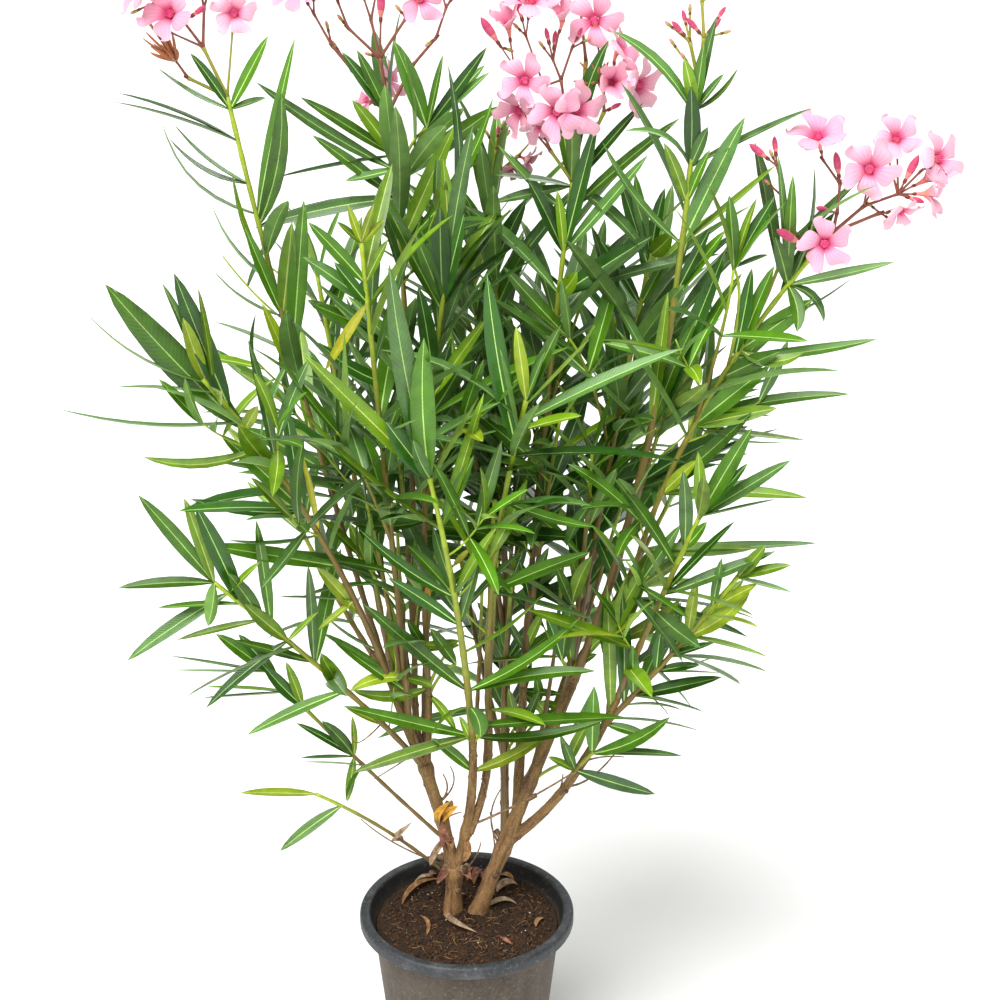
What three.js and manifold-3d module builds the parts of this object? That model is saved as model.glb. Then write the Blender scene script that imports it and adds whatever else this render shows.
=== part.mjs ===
// Potted oleander in flower: a plastic nursery pot full of soil, two trunks, their boughs, and one
// leafy shoot for each mass of foliage. Millimetres, +Z up. The origin is the centre of the pot's
// flat underside, +X is to the right and -Y to the front, where the crown is usually looked at from.
import * as THREE from "three";
import { mergeVertices } from "three/addons/utils/BufferGeometryUtils.js";
import Module from "manifold-3d";

const wasm = await Module();
wasm.setup();

// Pot: a thin tapering wall under a thick rounded rim, with drain holes in its floor
const POT_HEIGHT = 210;
const POT_FOOT_RADIUS = 82.5;
const POT_NECK_RADIUS = 104;
const RIM_RADIUS = 118.5;
const RIM_HEIGHT = 13;
const RIM_WIDTH = 12;
const RIM_ROUNDING = 4;
const POT_WALL = 2.2;
const POT_FLOOR = 3;
const POT_EDGE = 2;
const POT_SEGMENTS = 32;
const DRAIN_HOLES = 6;
const DRAIN_RADIUS = 5;
const DRAIN_SIDES = 10;
const DRAIN_CIRCLE_RADIUS = 58;

// Soil: fills the pot to a little below the rim, level round the trunks and lower at the wall
const SOIL_TOP = 196;
const SOIL_FALL = 5;
const SOIL_LEVEL_RADIUS = 48;

// Every piece stands this far clear of the next one
const CLEARANCE = 0.3;

// Trunks and boughs: [name, what it grows from, foot, knee, tip, foot radius, tip radius]
const FLARE = 3.2;
const FLARE_LENGTH = 16;
const TRUNK_SIDES = 10;
const BOUGH_SIDES = 6;
const LIMB_STEP = 36;
const LIMBS = [
  ["trunk_left", "soil", [-18, 14, 180], [-15, 10, 222], [-14, 8, 260], 9, 8],
  ["trunk_right", "soil", [7, 13, 180], [61, 12, 335], [117, 5, 490], 9, 5.2],
  ["bough_left", "trunk_left", [-14, 8, 254], [-28, 4, 325], [-45, 0, 392], 7.2, 5.4],
  ["bough_left_outer", "bough_left", [-45, 0, 389], [-61, -4, 430], [-75, -11, 480], 4.6, 3.6],
  ["bough_left_middle", "bough_left", [-44, 0, 386], [-52, 6, 430], [-54, 14, 485], 4.3, 3.4],
  ["bough_left_inner", "bough_left", [-43, 0, 380], [-40, -2, 425], [-38, -4, 475], 4.3, 3.4],
  ["bough_front", "trunk_left", [-14, 8, 250], [4, -4, 335], [7, -24, 436], 6, 4.2],
  ["bough_front_right", "bough_front", [3, 0, 306], [21, -4, 370], [25, -13, 445], 4.6, 3.6],
  ["bough_right", "trunk_right", [47, 12, 289], [107, -4, 362], [160, -16, 474], 6, 4],
  ["bough_centre", "trunk_right", [53, 12, 306], [60, 26, 380], [62, 34, 465], 5.2, 3.9],
  ["bough_back", "trunk_right", [43, 12, 274], [43, 44, 365], [46, 70, 460], 5, 3.9],
  ["bough_back_left", "bough_left", [-27, 4, 318], [-56, 48, 388], [-83, 92, 470], 4.8, 3.8],
  ["bough_back_right", "trunk_right", [69, 12, 360], [94, 48, 416], [122, 88, 486], 4.8, 3.8],
];

// Leafy shoots, one to a mass: foot, knee and tip of its stem, the share of it below the tip that is
// leafy, the share at the tip that is bare under a flower head, its side twigs as [place on the stem
// from 0 to 1, tip], and the leaves that reach furthest as [place on the stem, tip]
const SHOOTS = {
  left_wing: {
    foot: [-75, -11, 480], knee: [-143, -52, 675], tip: [-245, -90, 852],
    leafy: 0.95,
    reach: [
      [0.85, -329, -95, 945], [0.95, -387, -70, 816], [0.97, -261, -120, 962], [0.99, -238, -100, 943],
      [0.85, -304, -100, 777], [0.62, -227, -110, 801], [0.9, -355, -50, 901],
    ],
  },
  left_bloom: {
    foot: [-68, -7, 455], knee: [-150, 20, 755], tip: [-224, 35, 1096],
    leafy: 0.8,
    reach: [
      [0.98, -320, 20, 1105], [0.985, -187, 30, 1165], [0.86, -160, 10, 1155], [0.9, -178, -20, 1140],
    ],
  },
  left_front: {
    foot: [-58, -3, 424], knee: [-74, -44, 690], tip: [-94, -60, 975],
    leafy: 0.86,
    twigs: [[0.45, -120, -95, 800]],
    reach: [[0.9, -175, -100, 1010], [0.72, -185, -100, 926]],
  },
  middle_bloom: {
    foot: [-54, 14, 485], knee: [-55, 40, 790], tip: [-70, 50, 1079],
    leafy: 0.9,
    twigs: [[0.84, -33, 45, 1064]],
    reach: [[0.93, -145, 30, 1125], [0.78, -185, 10, 1010], [0.97, -90, 20, 1150]],
  },
  middle: {
    foot: [-38, -4, 475], knee: [-38, -14, 720], tip: [-11, -15, 955],
    leafy: 0.95,
    twigs: [[0.45, 0, -70, 800]],
  },
  left_low: {
    foot: [-42, 1, 380], knee: [-120, -30, 490], tip: [-250, -60, 630],
    leafy: 0.72,
    reach: [
      [0.97, -345, -65, 625], [0.95, -318, -60, 724], [0.93, -270, -80, 728], [0.9, -335, -100, 563],
      [0.72, -267, -60, 490], [0.5, -226, -50, 453],
    ],
  },
  left_low_back: {
    foot: [-21, 6, 290], knee: [-112, 28, 374], tip: [-213, 45, 480],
    leafy: 0.55,
    reach: [[0.97, -310, 60, 476], [0.85, -286, 40, 466], [0.5, -180, 5, 391], [0.5, -130, 0, 347]],
  },
  left_sucker: {
    foot: [-15, 9, 240], knee: [-85, -18, 318], tip: [-159, -38, 376],
    leafy: 0,
    reach: [[0.99, -240, -50, 384], [0.82, -199, -60, 319], [0.82, -128, -10, 399]],
  },
  front: {
    foot: [7, -24, 436], knee: [-7, -66, 596], tip: [-32, -120, 762],
    leafy: 1,
    reach: [
      [0.99, -31, -150, 906], [0.97, -67, -165, 950], [0.04, 159, -120, 507], [0.02, -113, -90, 427],
      [0.1, -118, -90, 506], [0.25, 124, -120, 557], [0.5, -92, -120, 620],
    ],
  },
  front_right: {
    foot: [25, -13, 445], knee: [29, -46, 630], tip: [60, -94, 830],
    leafy: 1,
    reach: [[0.85, -64, -115, 807], [0.85, 213, -115, 774], [0.98, 50, -110, 909], [0.05, 81, -90, 483]],
  },
  centre_bloom: {
    foot: [62, 34, 465], knee: [82, 45, 740], tip: [109, 50, 1010],
    leafy: 0.95,
    twigs: [[0.5, 125, 95, 880]],
    reach: [[0.97, 40, 30, 1045], [0.9, 195, 45, 960], [0.98, 170, 40, 1095]],
  },
  centre_back: {
    foot: [46, 70, 460], knee: [40, 94, 735], tip: [31, 96, 1005],
    leafy: 0.92,
    twigs: [[0.55, -25, 130, 900]],
  },
  right_inner: {
    foot: [107, 7, 462], knee: [152, 44, 722], tip: [195, 60, 965],
    leafy: 0.85,
    twigs: [[0.5, 105, 20, 860]],
  },
  right_tall: {
    foot: [117, 5, 490], knee: [190, -6, 780], tip: [221, -15, 1120],
    leafy: 0.88,
    reach: [[0.97, 150, -25, 1140], [0.9, 285, -30, 1040], [0.8, 335, 10, 1080], [0.42, 249, -60, 970]],
  },
  right_bloom: {
    foot: [152, -14, 455], knee: [208, -12, 725], tip: [355, -25, 975],
    leafy: 0.8,
    bare: 0.12,
    twigs: [[0.78, 317, -20, 985], [0.6, 259, -40, 944]],
    reach: [
      [0.86, 419, -20, 938], [0.74, 405, -30, 869], [0.66, 379, -40, 819], [0.6, 343, -50, 762],
      [0.7, 335, -45, 914], [0.45, 302, -70, 850],
    ],
  },
  right_front: {
    foot: [160, -16, 474], knee: [192, -44, 582], tip: [232, -75, 704],
    leafy: 0.9,
    reach: [[0.97, 318, -70, 760], [0.97, 276, -90, 764], [0.93, 336, -80, 724]],
  },
  right_low: {
    foot: [146, -12, 440], knee: [214, -36, 536], tip: [275, -58, 632],
    leafy: 0.82,
    reach: [
      [0.98, 351, -70, 672], [0.97, 328, -60, 615], [0.85, 285, -80, 575], [0.6, 304, -90, 557],
      [0.5, 312, -50, 522], [0.3, 265, -40, 510], [0.15, 250, -30, 464],
    ],
  },
  right_sucker: {
    foot: [104, -3, 357], knee: [114, -14, 384], tip: [136, -24, 416],
    leafy: 0.3,
    reach: [[0.5, 203, -40, 371], [0.95, 209, -60, 477], [0.95, 225, -60, 430], [0.6, 110, -50, 470]],
  },
  back_left: {
    foot: [-83, 92, 470], knee: [-120, 146, 665], tip: [-157, 198, 880],
    leafy: 0.95,
    twigs: [[0.4, -195, 130, 760]],
  },
  back_left_low: {
    foot: [-72, 74, 436], knee: [-142, 145, 520], tip: [-210, 205, 640],
    leafy: 0.8,
  },
  back: {
    foot: [45, 60, 425], knee: [26, 145, 640], tip: [11, 225, 895],
    leafy: 0.85,
    twigs: [[0.55, 75, 215, 800]],
  },
  back_low: {
    foot: [43, 46, 370], knee: [10, 146, 484], tip: [-16, 238, 612],
    leafy: 0.72,
  },
  back_right: {
    foot: [122, 88, 486], knee: [164, 145, 680], tip: [207, 200, 885],
    leafy: 0.95,
    twigs: [[0.4, 240, 120, 760]],
  },
  back_right_low: {
    foot: [110, 70, 455], knee: [186, 142, 552], tip: [255, 200, 665],
    leafy: 0.8,
  },
};

// Stems and twigs are three-sided and taper
const STEM_RADIUS = 3.3;
const STEM_TIP_RADIUS = 1.6;
const TWIG_RADIUS = 2.2;
const TWIG_TIP_RADIUS = 1.3;
const STEM_STEP = 55;

// Leaves: whorls of three, long and narrow, upright at a shoot's tip and spreading further down
const LEAVES_IN_WHORL = 3;
const WHORL_SPACING = 28;
const WHORLS_STEPPED = 2;
const MOST_WHORLS = 40;
const WHORL_TURN = 74;
const FIRST_WHORL = 0.15;
const TWIG_LEAFY = 0.75;
const LEAF_LENGTH = 142;
const LEAF_WIDTH = 35;
const LEAF_THICKNESS = 3;
const LEAF_WIDEST = 0.42;
const LEAF_ARCH = 5;
const YOUNG_SHARE = 0.62;
const YOUNG_WHORLS = 4;
const TIP_ANGLE = 27;
const FOOT_ANGLE = 80;
const OPENING_WHORLS = 8;
const OPENING_POWER = 0.8;
const TURN_SPREAD = 30;
const ANGLE_SPREAD = 22;
const SMALLEST_LEAF = 0.86;
const SIZE_SPREAD = 0.28;
const LEAF_FACES_UP = 0.3;
const LEAF_ROLL = 60;
const LEAF_NECK = 7;
const LEAF_GAP = 0.5;
const LEAF_SWINGS = [0, 28, -28];

// Blossom: arms of a flower head as [number of the arm it grows from, or -1 for the stem's tip,
// x, y, z from the stem's tip, what it ends in]
const PETALS = 5;
const FLOWER_RADIUS = 28;
const FLOWER_DEPTH = 22;
const FLOWER_NOTCH = 0.62;
const BUD_LENGTH = 24;
const BUD_RADIUS = 3.4;
const ARM_RADIUS = 1.3;
const FLOWER_TURN = new THREE.Vector3(0, -0.7, 0.2);
const HEADS = {
  left_bloom: [
    [-1, -20, 0, 45, "arm"],
    [0, -40, -4, 68, "arm"],
    [-1, 10, -22, 82, "flower"],
    [1, -62, -16, 82, "flower"],
    [1, -84, 6, 100, "bud"],
    [1, -44, 12, 116, "flower"],
    [0, -14, 14, 112, "bud"],
  ],
  middle_bloom: [
    [-1, -12, 0, 58, "arm"],
    [-1, -52, -6, 60, "arm"],
    [1, -82, -4, 112, "flower"],
    [1, -68, 18, 98, "bud"],
    [0, -42, -8, 98, "bud"],
    [0, 30, -14, 108, "flower"],
    [-1, 40, 8, 66, "arm"],
    [6, 64, 2, 118, "bud"],
    [0, -18, 10, 140, "flower"],
  ],
  centre_bloom: [
    [-1, -26, -4, 48, "arm"],
    [0, -48, -24, 92, "flower"],
    [0, -70, -4, 118, "arm"],
    [2, -84, -4, 142, "bud"],
    [2, -54, 8, 156, "flower"],
    [-1, -10, -28, 64, "flower"],
    [-1, -8, 6, 100, "arm"],
    [6, 26, -6, 142, "flower"],
    [-1, 22, -8, 62, "flower"],
    [-1, 38, 4, 76, "arm"],
    [9, 58, -4, 100, "flower"],
    [9, 46, 14, 150, "bud"],
  ],
  right_bloom: [
    [-1, -6, -34, -8, "flower"],
    [-1, 4, 0, 38, "arm"],
    [1, -16, -4, 86, "flower"],
    [1, 8, -6, 66, "bud"],
    [-1, 60, -6, 34, "arm"],
    [4, 36, -24, 62, "flower"],
    [4, 64, -10, 86, "flower"],
    [4, 92, -6, 68, "flower"],
    [4, 88, -18, 36, "flower"],
    [4, 66, -20, 8, "flower"],
    [-1, -18, 4, 18, "bud"],
  ],
  right_tall: [
    [-1, -2, 0, 46, "arm"],
    [0, -22, -6, 72, "bud"],
    [0, -8, 8, 86, "bud"],
    [0, 14, -4, 84, "bud"],
    [-1, 24, 2, 48, "bud"],
    [-1, -18, 10, 40, "bud"],
  ],
  centre_back: [
    [-1, 6, 0, 34, "bud"],
    [-1, 26, -10, 22, "flower"],
    [-1, -12, 8, 30, "bud"],
  ],
};

const X_AXIS = new THREE.Vector3(1, 0, 0);
const Z_AXIS = new THREE.Vector3(0, 0, 1);
const point = (p) => new THREE.Vector3(...p);

// A repeatable number from 0 to 1 for three whole numbers.
function chance(a, b, c) {
  const s = Math.sin(a * 127.1 + b * 311.7 + c * 74.7) * 43758.5453;
  return s - Math.floor(s);
}

// The smooth curve that passes through a foot, a knee at half way, and a tip.
function route(foot, knee, tip) {
  const control = knee.clone().multiplyScalar(2).addScaledVector(foot, -0.5).addScaledVector(tip, -0.5);
  return new THREE.QuadraticBezierCurve3(foot, control, tip);
}

// Two directions square to a curve's own, turned as little as they can be along it.
function sidesOf(direction) {
  const first = X_AXIS.clone().addScaledVector(direction, -X_AXIS.dot(direction)).normalize();
  return [first, direction.clone().cross(first)];
}

// A geometry as a solid that can be joined and cut.
function solidOf(geometry) {
  const bare = geometry.clone();
  bare.deleteAttribute("normal");
  bare.deleteAttribute("uv");
  const merged = mergeVertices(bare, 1e-4);
  return new wasm.Manifold(
    new wasm.Mesh({
      numProp: 3,
      vertProperties: merged.getAttribute("position").array,
      triVerts: new Uint32Array(merged.index.array),
    }),
  );
}

// A solid back as a geometry.
function geometryOf(solid) {
  const mesh = solid.getMesh();
  const geometry = new THREE.BufferGeometry();
  geometry.setAttribute("position", new THREE.BufferAttribute(mesh.vertProperties, 3));
  geometry.setIndex(new THREE.BufferAttribute(mesh.triVerts, 1));
  geometry.computeVertexNormals();
  return geometry;
}

// The largest of a solid's separate bodies: a loose scrap is dropped and a sealed hollow is filled.
function largest(solid) {
  return solid.decompose().reduce((most, body) => (body.volume() > most.volume() ? body : most));
}

// Moves every vertex of a geometry by a function of its own place.
function reshape(geometry, move) {
  const places = geometry.getAttribute("position");
  const place = new THREE.Vector3();
  for (let i = 0; i < places.count; i++) {
    move(place.fromBufferAttribute(places, i));
    places.setXYZ(i, place.x, place.y, place.z);
  }
  return geometry;
}

// A tapering cylinder bent along a curve, grown by a margin all round.
function bentCylinder(curve, footRadius, tipRadius, sides, step, { margin = 0, flare = 0 } = {}) {
  const length = curve.getLength();
  const steps = Math.max(1, Math.round(length / step));
  const straight = new THREE.CylinderGeometry(1, 1, 1, sides, steps);
  const isEnd = (t) => Math.abs(t - 0.5) > 0.5 - 1e-6;
  return reshape(straight, (place) => {
    const t = place.y + 0.5;
    const centre = curve.getPoint(t);
    const along = curve.getTangent(t);
    const [first, second] = sidesOf(along);
    const swell = flare * Math.exp((-t * length) / FLARE_LENGTH);
    const radius = footRadius + (tipRadius - footRadius) * t + swell + margin;
    const { x, z } = place;
    place.copy(centre).addScaledVector(first, z * radius).addScaledVector(second, x * radius);
    if (isEnd(t)) place.addScaledVector(along, t < 0.5 ? -margin : margin);
  });
}

// Pot
function potSolid() {
  const rimFoot = POT_HEIGHT - RIM_HEIGHT;
  const inner = RIM_RADIUS - RIM_WIDTH;
  const shoulder = RIM_RADIUS - RIM_ROUNDING;
  const half = RIM_ROUNDING * Math.SQRT1_2;
  const profile = [
    [0, 0],
    [POT_FOOT_RADIUS, 0],
    [POT_NECK_RADIUS, rimFoot],
    [RIM_RADIUS - POT_EDGE, rimFoot],
    [RIM_RADIUS, rimFoot + POT_EDGE],
    [RIM_RADIUS, POT_HEIGHT - RIM_ROUNDING],
    [shoulder + half, POT_HEIGHT - RIM_ROUNDING + half],
    [shoulder, POT_HEIGHT],
    [inner + POT_EDGE, POT_HEIGHT],
    [inner, POT_HEIGHT - POT_EDGE],
    [POT_NECK_RADIUS - POT_WALL, rimFoot],
    [POT_FOOT_RADIUS - POT_WALL, POT_FLOOR],
    [0, POT_FLOOR],
  ].map(([r, z]) => new THREE.Vector2(r, z));
  let pot = solidOf(new THREE.LatheGeometry(profile, POT_SEGMENTS).rotateX(Math.PI / 2));
  for (let i = 0; i < DRAIN_HOLES; i++) {
    const angle = (2 * Math.PI * i) / DRAIN_HOLES;
    const hole = new THREE.CylinderGeometry(DRAIN_RADIUS, DRAIN_RADIUS, 4 * POT_FLOOR, DRAIN_SIDES)
      .rotateX(Math.PI / 2)
      .translate(DRAIN_CIRCLE_RADIUS * Math.cos(angle), DRAIN_CIRCLE_RADIUS * Math.sin(angle), 0);
    pot = pot.subtract(solidOf(hole));
  }
  return pot;
}

// Soil
function soilSolid() {
  const floor = POT_FLOOR + CLEARANCE;
  const edge = SOIL_TOP - SOIL_FALL;
  const slope = (POT_NECK_RADIUS - POT_FOOT_RADIUS) / (POT_HEIGHT - RIM_HEIGHT);
  const radiusAt = (z) => POT_FOOT_RADIUS + slope * z - POT_WALL - 2 * CLEARANCE;
  const profile = [
    [0, floor],
    [radiusAt(floor) - CLEARANCE, floor],
    [radiusAt(edge) - CLEARANCE, edge],
    [SOIL_LEVEL_RADIUS, SOIL_TOP],
    [0, SOIL_TOP],
  ].map(([r, z]) => new THREE.Vector2(r, z));
  return solidOf(new THREE.LatheGeometry(profile, POT_SEGMENTS).rotateX(Math.PI / 2));
}

// Everything that is already in its place, with the mass it belongs to, for a new piece to keep
// clear of. A mass's own stem, twigs and flower heads are left out, because a piece is sunk into them.
const placed = [];
function place(solid, mass = null, isLeaf = false) {
  placed.push({ solid, box: solid.boundingBox(), mass, isLeaf });
}

function boxesMeet(a, b) {
  return [0, 1, 2].every((i) => a.min[i] < b.max[i] && b.min[i] < a.max[i]);
}

function isClear(solid, mass, { ofOwnLeaves = false } = {}) {
  const box = solid.boundingBox();
  return placed.every((other) => {
    const isOwn = other.mass === mass && !(ofOwnLeaves && other.isLeaf);
    if (isOwn || !boxesMeet(box, other.box)) return true;
    const shared = solid.intersect(other.solid);
    const clear = shared.isEmpty();
    shared.delete();
    return clear;
  });
}

// Trunks and boughs, each cut clear of every limb before it
const grownLimbs = [];
function growLimb([, from, foot, knee, tip, footRadius, tipRadius]) {
  const curve = route(point(foot), point(knee), point(tip));
  const isTrunk = from === "soil";
  const flare = isTrunk ? FLARE : 0;
  const sides = isTrunk ? TRUNK_SIDES : BOUGH_SIDES;
  const tube = (margin) =>
    solidOf(bentCylinder(curve, footRadius, tipRadius, sides, LIMB_STEP, { margin, flare }));
  let solid = tube(0);
  for (const limb of grownLimbs) solid = solid.subtract(limb);
  if (isTrunk) {
    const ground = new THREE.BoxGeometry(2 * RIM_RADIUS, 2 * RIM_RADIUS, SOIL_TOP);
    solid = solid.subtract(solidOf(ground.translate(0, 0, SOIL_TOP / 2 + CLEARANCE)));
  }
  grownLimbs.push(tube(CLEARANCE));
  return largest(solid);
}

// A straight three-sided twig from one place to another.
function twigSolid(from, to, footRadius, tipRadius) {
  return solidOf(bentCylinder(new THREE.LineCurve3(from, to), footRadius, tipRadius, 3, Infinity));
}

// A leaf of six faces: base, tip, two edges and a keel, its middle arched away from its under side.
// It starts at base and grows along a direction with its upper face turned to a normal, and a margin
// grows it all round.
function leafSolid(base, along, normal, length, width, margin) {
  const side = normal.clone().cross(along).normalize();
  const upper = along.clone().cross(side).normalize();
  const top = (LEAF_ARCH * length) / LEAF_LENGTH + margin;
  const reach = width / 2 + margin;
  const corner = (run, across, up) => {
    const spot = base.clone().addScaledVector(along, run * length);
    return spot.addScaledVector(side, across).addScaledVector(upper, up);
  };
  const [root, tip, left, right, keel] = [0, 1, 2, 3, 4];
  const geometry = new THREE.BufferGeometry().setFromPoints([
    base,
    corner(1, 0, 0),
    corner(LEAF_WIDEST, reach, top),
    corner(LEAF_WIDEST, -reach, top),
    corner(LEAF_WIDEST, 0, top - LEAF_THICKNESS - 2 * margin),
  ]);
  const faces = [
    [root, right, left],
    [tip, left, right],
    [root, left, keel],
    [root, keel, right],
    [tip, keel, left],
    [tip, right, keel],
  ];
  return solidOf(geometry.setIndex(faces.flat()));
}

// The turn that carries +Z to a direction, for a piece modelled upright at the origin.
const turnTo = (direction) => new THREE.Quaternion().setFromUnitVectors(Z_AXIS, direction);

// A five-sided stalk from one place to another that opens into a flower of five petals, its face
// turned a little from the stalk's own direction and its throat pressed in.
function flowerSolid(start, end, facing) {
  const stalk = end.clone().sub(start);
  const foot = stalk.length() - 0.6 * FLOWER_DEPTH;
  const rings = [{ radius: ARM_RADIUS, height: 0 }, { radius: 0.8 * ARM_RADIUS, height: foot }];
  const upright = turnTo(stalk.clone().normalize());
  const turned = turnTo(facing);
  const corners = [start.clone().addScaledVector(stalk.normalize(), -ARM_RADIUS)];
  for (const { radius, height } of rings) {
    for (let i = 0; i < PETALS; i++) {
      const angle = (2 * Math.PI * i) / PETALS;
      const corner = new THREE.Vector3(radius * Math.cos(angle), radius * Math.sin(angle), height);
      corners.push(corner.applyQuaternion(upright).add(start));
    }
  }
  const neck = start.clone().addScaledVector(stalk, foot);
  for (let i = 0; i < 2 * PETALS; i++) {
    const angle = (Math.PI * i) / PETALS;
    const reach = FLOWER_RADIUS * (i % 2 ? FLOWER_NOTCH : 1);
    const corner = new THREE.Vector3(reach * Math.cos(angle), reach * Math.sin(angle), FLOWER_DEPTH);
    corners.push(corner.applyQuaternion(turned).add(neck));
  }
  corners.push(neck.clone().addScaledVector(facing, 0.7 * FLOWER_DEPTH));
  const [low, high, rim] = [1, 1 + PETALS, 1 + 2 * PETALS];
  const throat = rim + 2 * PETALS;
  const faces = [];
  for (let i = 0; i < PETALS; i++) {
    const next = (i + 1) % PETALS;
    const [tip, notch, nextTip] = [rim + 2 * i, rim + 2 * i + 1, rim + 2 * next];
    faces.push([0, low + next, low + i]);
    faces.push([low + i, low + next, high + next], [low + i, high + next, high + i]);
    faces.push([high + i, notch, tip], [high + i, high + next, notch]);
    faces.push([high + next, nextTip, notch]);
    faces.push([throat, tip, notch], [throat, notch, nextTip]);
  }
  const geometry = new THREE.BufferGeometry().setFromPoints(corners);
  return solidOf(geometry.setIndex(faces.flat()));
}

// A three-sided stalk that swells into a slim pointed bud.
function budSolid(start, end) {
  const stalk = end.clone().sub(start);
  const foot = stalk.length() - 0.6 * BUD_LENGTH;
  const profile = [
    [0, -ARM_RADIUS],
    [ARM_RADIUS, 0],
    [0.8 * ARM_RADIUS, foot],
    [BUD_RADIUS, foot + 0.55 * BUD_LENGTH],
    [0, foot + BUD_LENGTH],
  ].map(([r, z]) => new THREE.Vector2(r, z));
  const upright = new THREE.LatheGeometry(profile, 3).rotateX(Math.PI / 2);
  const turned = upright.applyQuaternion(turnTo(stalk.normalize()));
  return solidOf(turned.translate(start.x, start.y, start.z));
}

// Masses. Each starts as its stem, cut clear of the limbs it grows from.
function growStem(mass) {
  const { foot, knee, tip } = mass.shoot;
  mass.stem = route(point(foot), point(knee), point(tip));
  let solid = solidOf(bentCylinder(mass.stem, STEM_RADIUS, STEM_TIP_RADIUS, 3, STEM_STEP));
  for (const limb of grownLimbs) solid = solid.subtract(limb);
  mass.solid = largest(solid);
  mass.branches = [mass.stem];
  place(mass.solid, mass);
}

// Fuses a twig or a flower to a mass, unless it would touch something else.
function fuse(mass, solid) {
  if (!isClear(solid, mass)) return false;
  mass.solid = mass.solid.add(solid);
  place(solid, mass);
  return true;
}

function growSideTwigs(mass) {
  for (const [at, ...tip] of mass.shoot.twigs ?? []) {
    const twig = new THREE.LineCurve3(mass.stem.getPoint(at), point(tip));
    if (fuse(mass, twigSolid(twig.v1, twig.v2, TWIG_RADIUS, TWIG_TIP_RADIUS))) mass.branches.push(twig);
  }
}

// A flower head: thin arms that fork from the stem's tip, with a flower or a bud at their ends.
function growHead(mass) {
  const base = point(mass.shoot.tip);
  const ends = [];
  for (const [from, x, y, z, bloom] of HEADS[mass.name] ?? []) {
    const start = from < 0 ? base : ends[from];
    const end = base.clone().add(new THREE.Vector3(x, y, z));
    if (!start) continue;
    const facing = end.clone().sub(start).normalize().add(FLOWER_TURN).normalize();
    const makers = {
      arm: () => twigSolid(start, end, ARM_RADIUS, 0.8 * ARM_RADIUS),
      flower: () => flowerSolid(start, end, facing),
      bud: () => budSolid(start, end),
    };
    ends.push(fuse(mass, makers[bloom]()) ? end : null);
  }
}

// One leaf at a place on a stem, its root sunk to the stem's middle, unless it would touch something
// else. Its upper face looks up the stem, rolled to one side by an angle.
function growLeaf(mass, stem, at, along, length, width, roll) {
  const foot = stem.getPoint(at);
  const normal = stem.getTangent(at).lerp(Z_AXIS, LEAF_FACES_UP);
  normal.addScaledVector(along, -normal.dot(along)).normalize().applyAxisAngle(along, roll);
  const blade = (start, margin) =>
    leafSolid(foot.clone().addScaledVector(along, start), along, normal, length - start, width, margin);
  const room = blade(0, LEAF_GAP);
  if (!isClear(room, mass)) return false;
  if (!isClear(blade(LEAF_NECK, LEAF_GAP), mass, { ofOwnLeaves: true })) return false;
  mass.solid = mass.solid.add(blade(0, 0));
  place(room, mass, true);
  return true;
}

// The leaves that give a mass its furthest tips.
function growReach(mass) {
  for (const [at, ...tip] of mass.shoot.reach ?? []) {
    const run = point(tip).sub(mass.stem.getPoint(at));
    const width = LEAF_WIDTH * (0.4 + (0.6 * run.length()) / LEAF_LENGTH);
    growLeaf(mass, mass.stem, at, run.clone().normalize(), run.length(), width, 0);
  }
}

// A whorl of leaves on a stem. Its number counts from the tip, and whorls open out further down.
function growWhorl(mass, branch, whorl) {
  const stem = mass.branches[branch];
  const length = stem.getLength();
  const leafy = branch === 0 ? mass.shoot.leafy : TWIG_LEAFY;
  const last = Math.floor((leafy * length) / WHORL_SPACING);
  if (whorl * WHORL_SPACING >= leafy * length) return;
  const bare = branch === 0 ? (mass.shoot.bare ?? 0) : 0;
  const at = 1 - bare - (WHORL_SPACING * (whorl + FIRST_WHORL)) / length;
  const stemAlong = stem.getTangent(at);
  const [first, second] = sidesOf(stemAlong);
  const openShare = (whorl / Math.max(OPENING_WHORLS, last)) ** OPENING_POWER;
  const opening = TIP_ANGLE + (FOOT_ANGLE - TIP_ANGLE) * openShare;
  const young = Math.min(1, YOUNG_SHARE + ((1 - YOUNG_SHARE) * whorl) / YOUNG_WHORLS);
  const seed = mass.number * 8 + branch;
  for (let i = 0; i < LEAVES_IN_WHORL; i++) {
    const draw = (use) => chance(seed, whorl, i + use * LEAVES_IN_WHORL);
    const turn = whorl * WHORL_TURN + (i * 360) / LEAVES_IN_WHORL + TURN_SPREAD * (draw(0) - 0.5);
    const angle = THREE.MathUtils.degToRad(opening + ANGLE_SPREAD * (draw(1) - 0.5));
    const size = young * (SMALLEST_LEAF + SIZE_SPREAD * draw(2));
    const roll = THREE.MathUtils.degToRad(LEAF_ROLL * (draw(3) - 0.5));
    for (const swing of LEAF_SWINGS) {
      const round = THREE.MathUtils.degToRad(turn + swing);
      const out = first.clone().multiplyScalar(Math.cos(round)).addScaledVector(second, Math.sin(round));
      const along = stemAlong.clone().multiplyScalar(Math.cos(angle)).addScaledVector(out, Math.sin(angle));
      const width = LEAF_WIDTH * (0.5 + 0.5 * size);
      if (growLeaf(mass, stem, at, along, LEAF_LENGTH * size, width, roll)) break;
    }
  }
}

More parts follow.
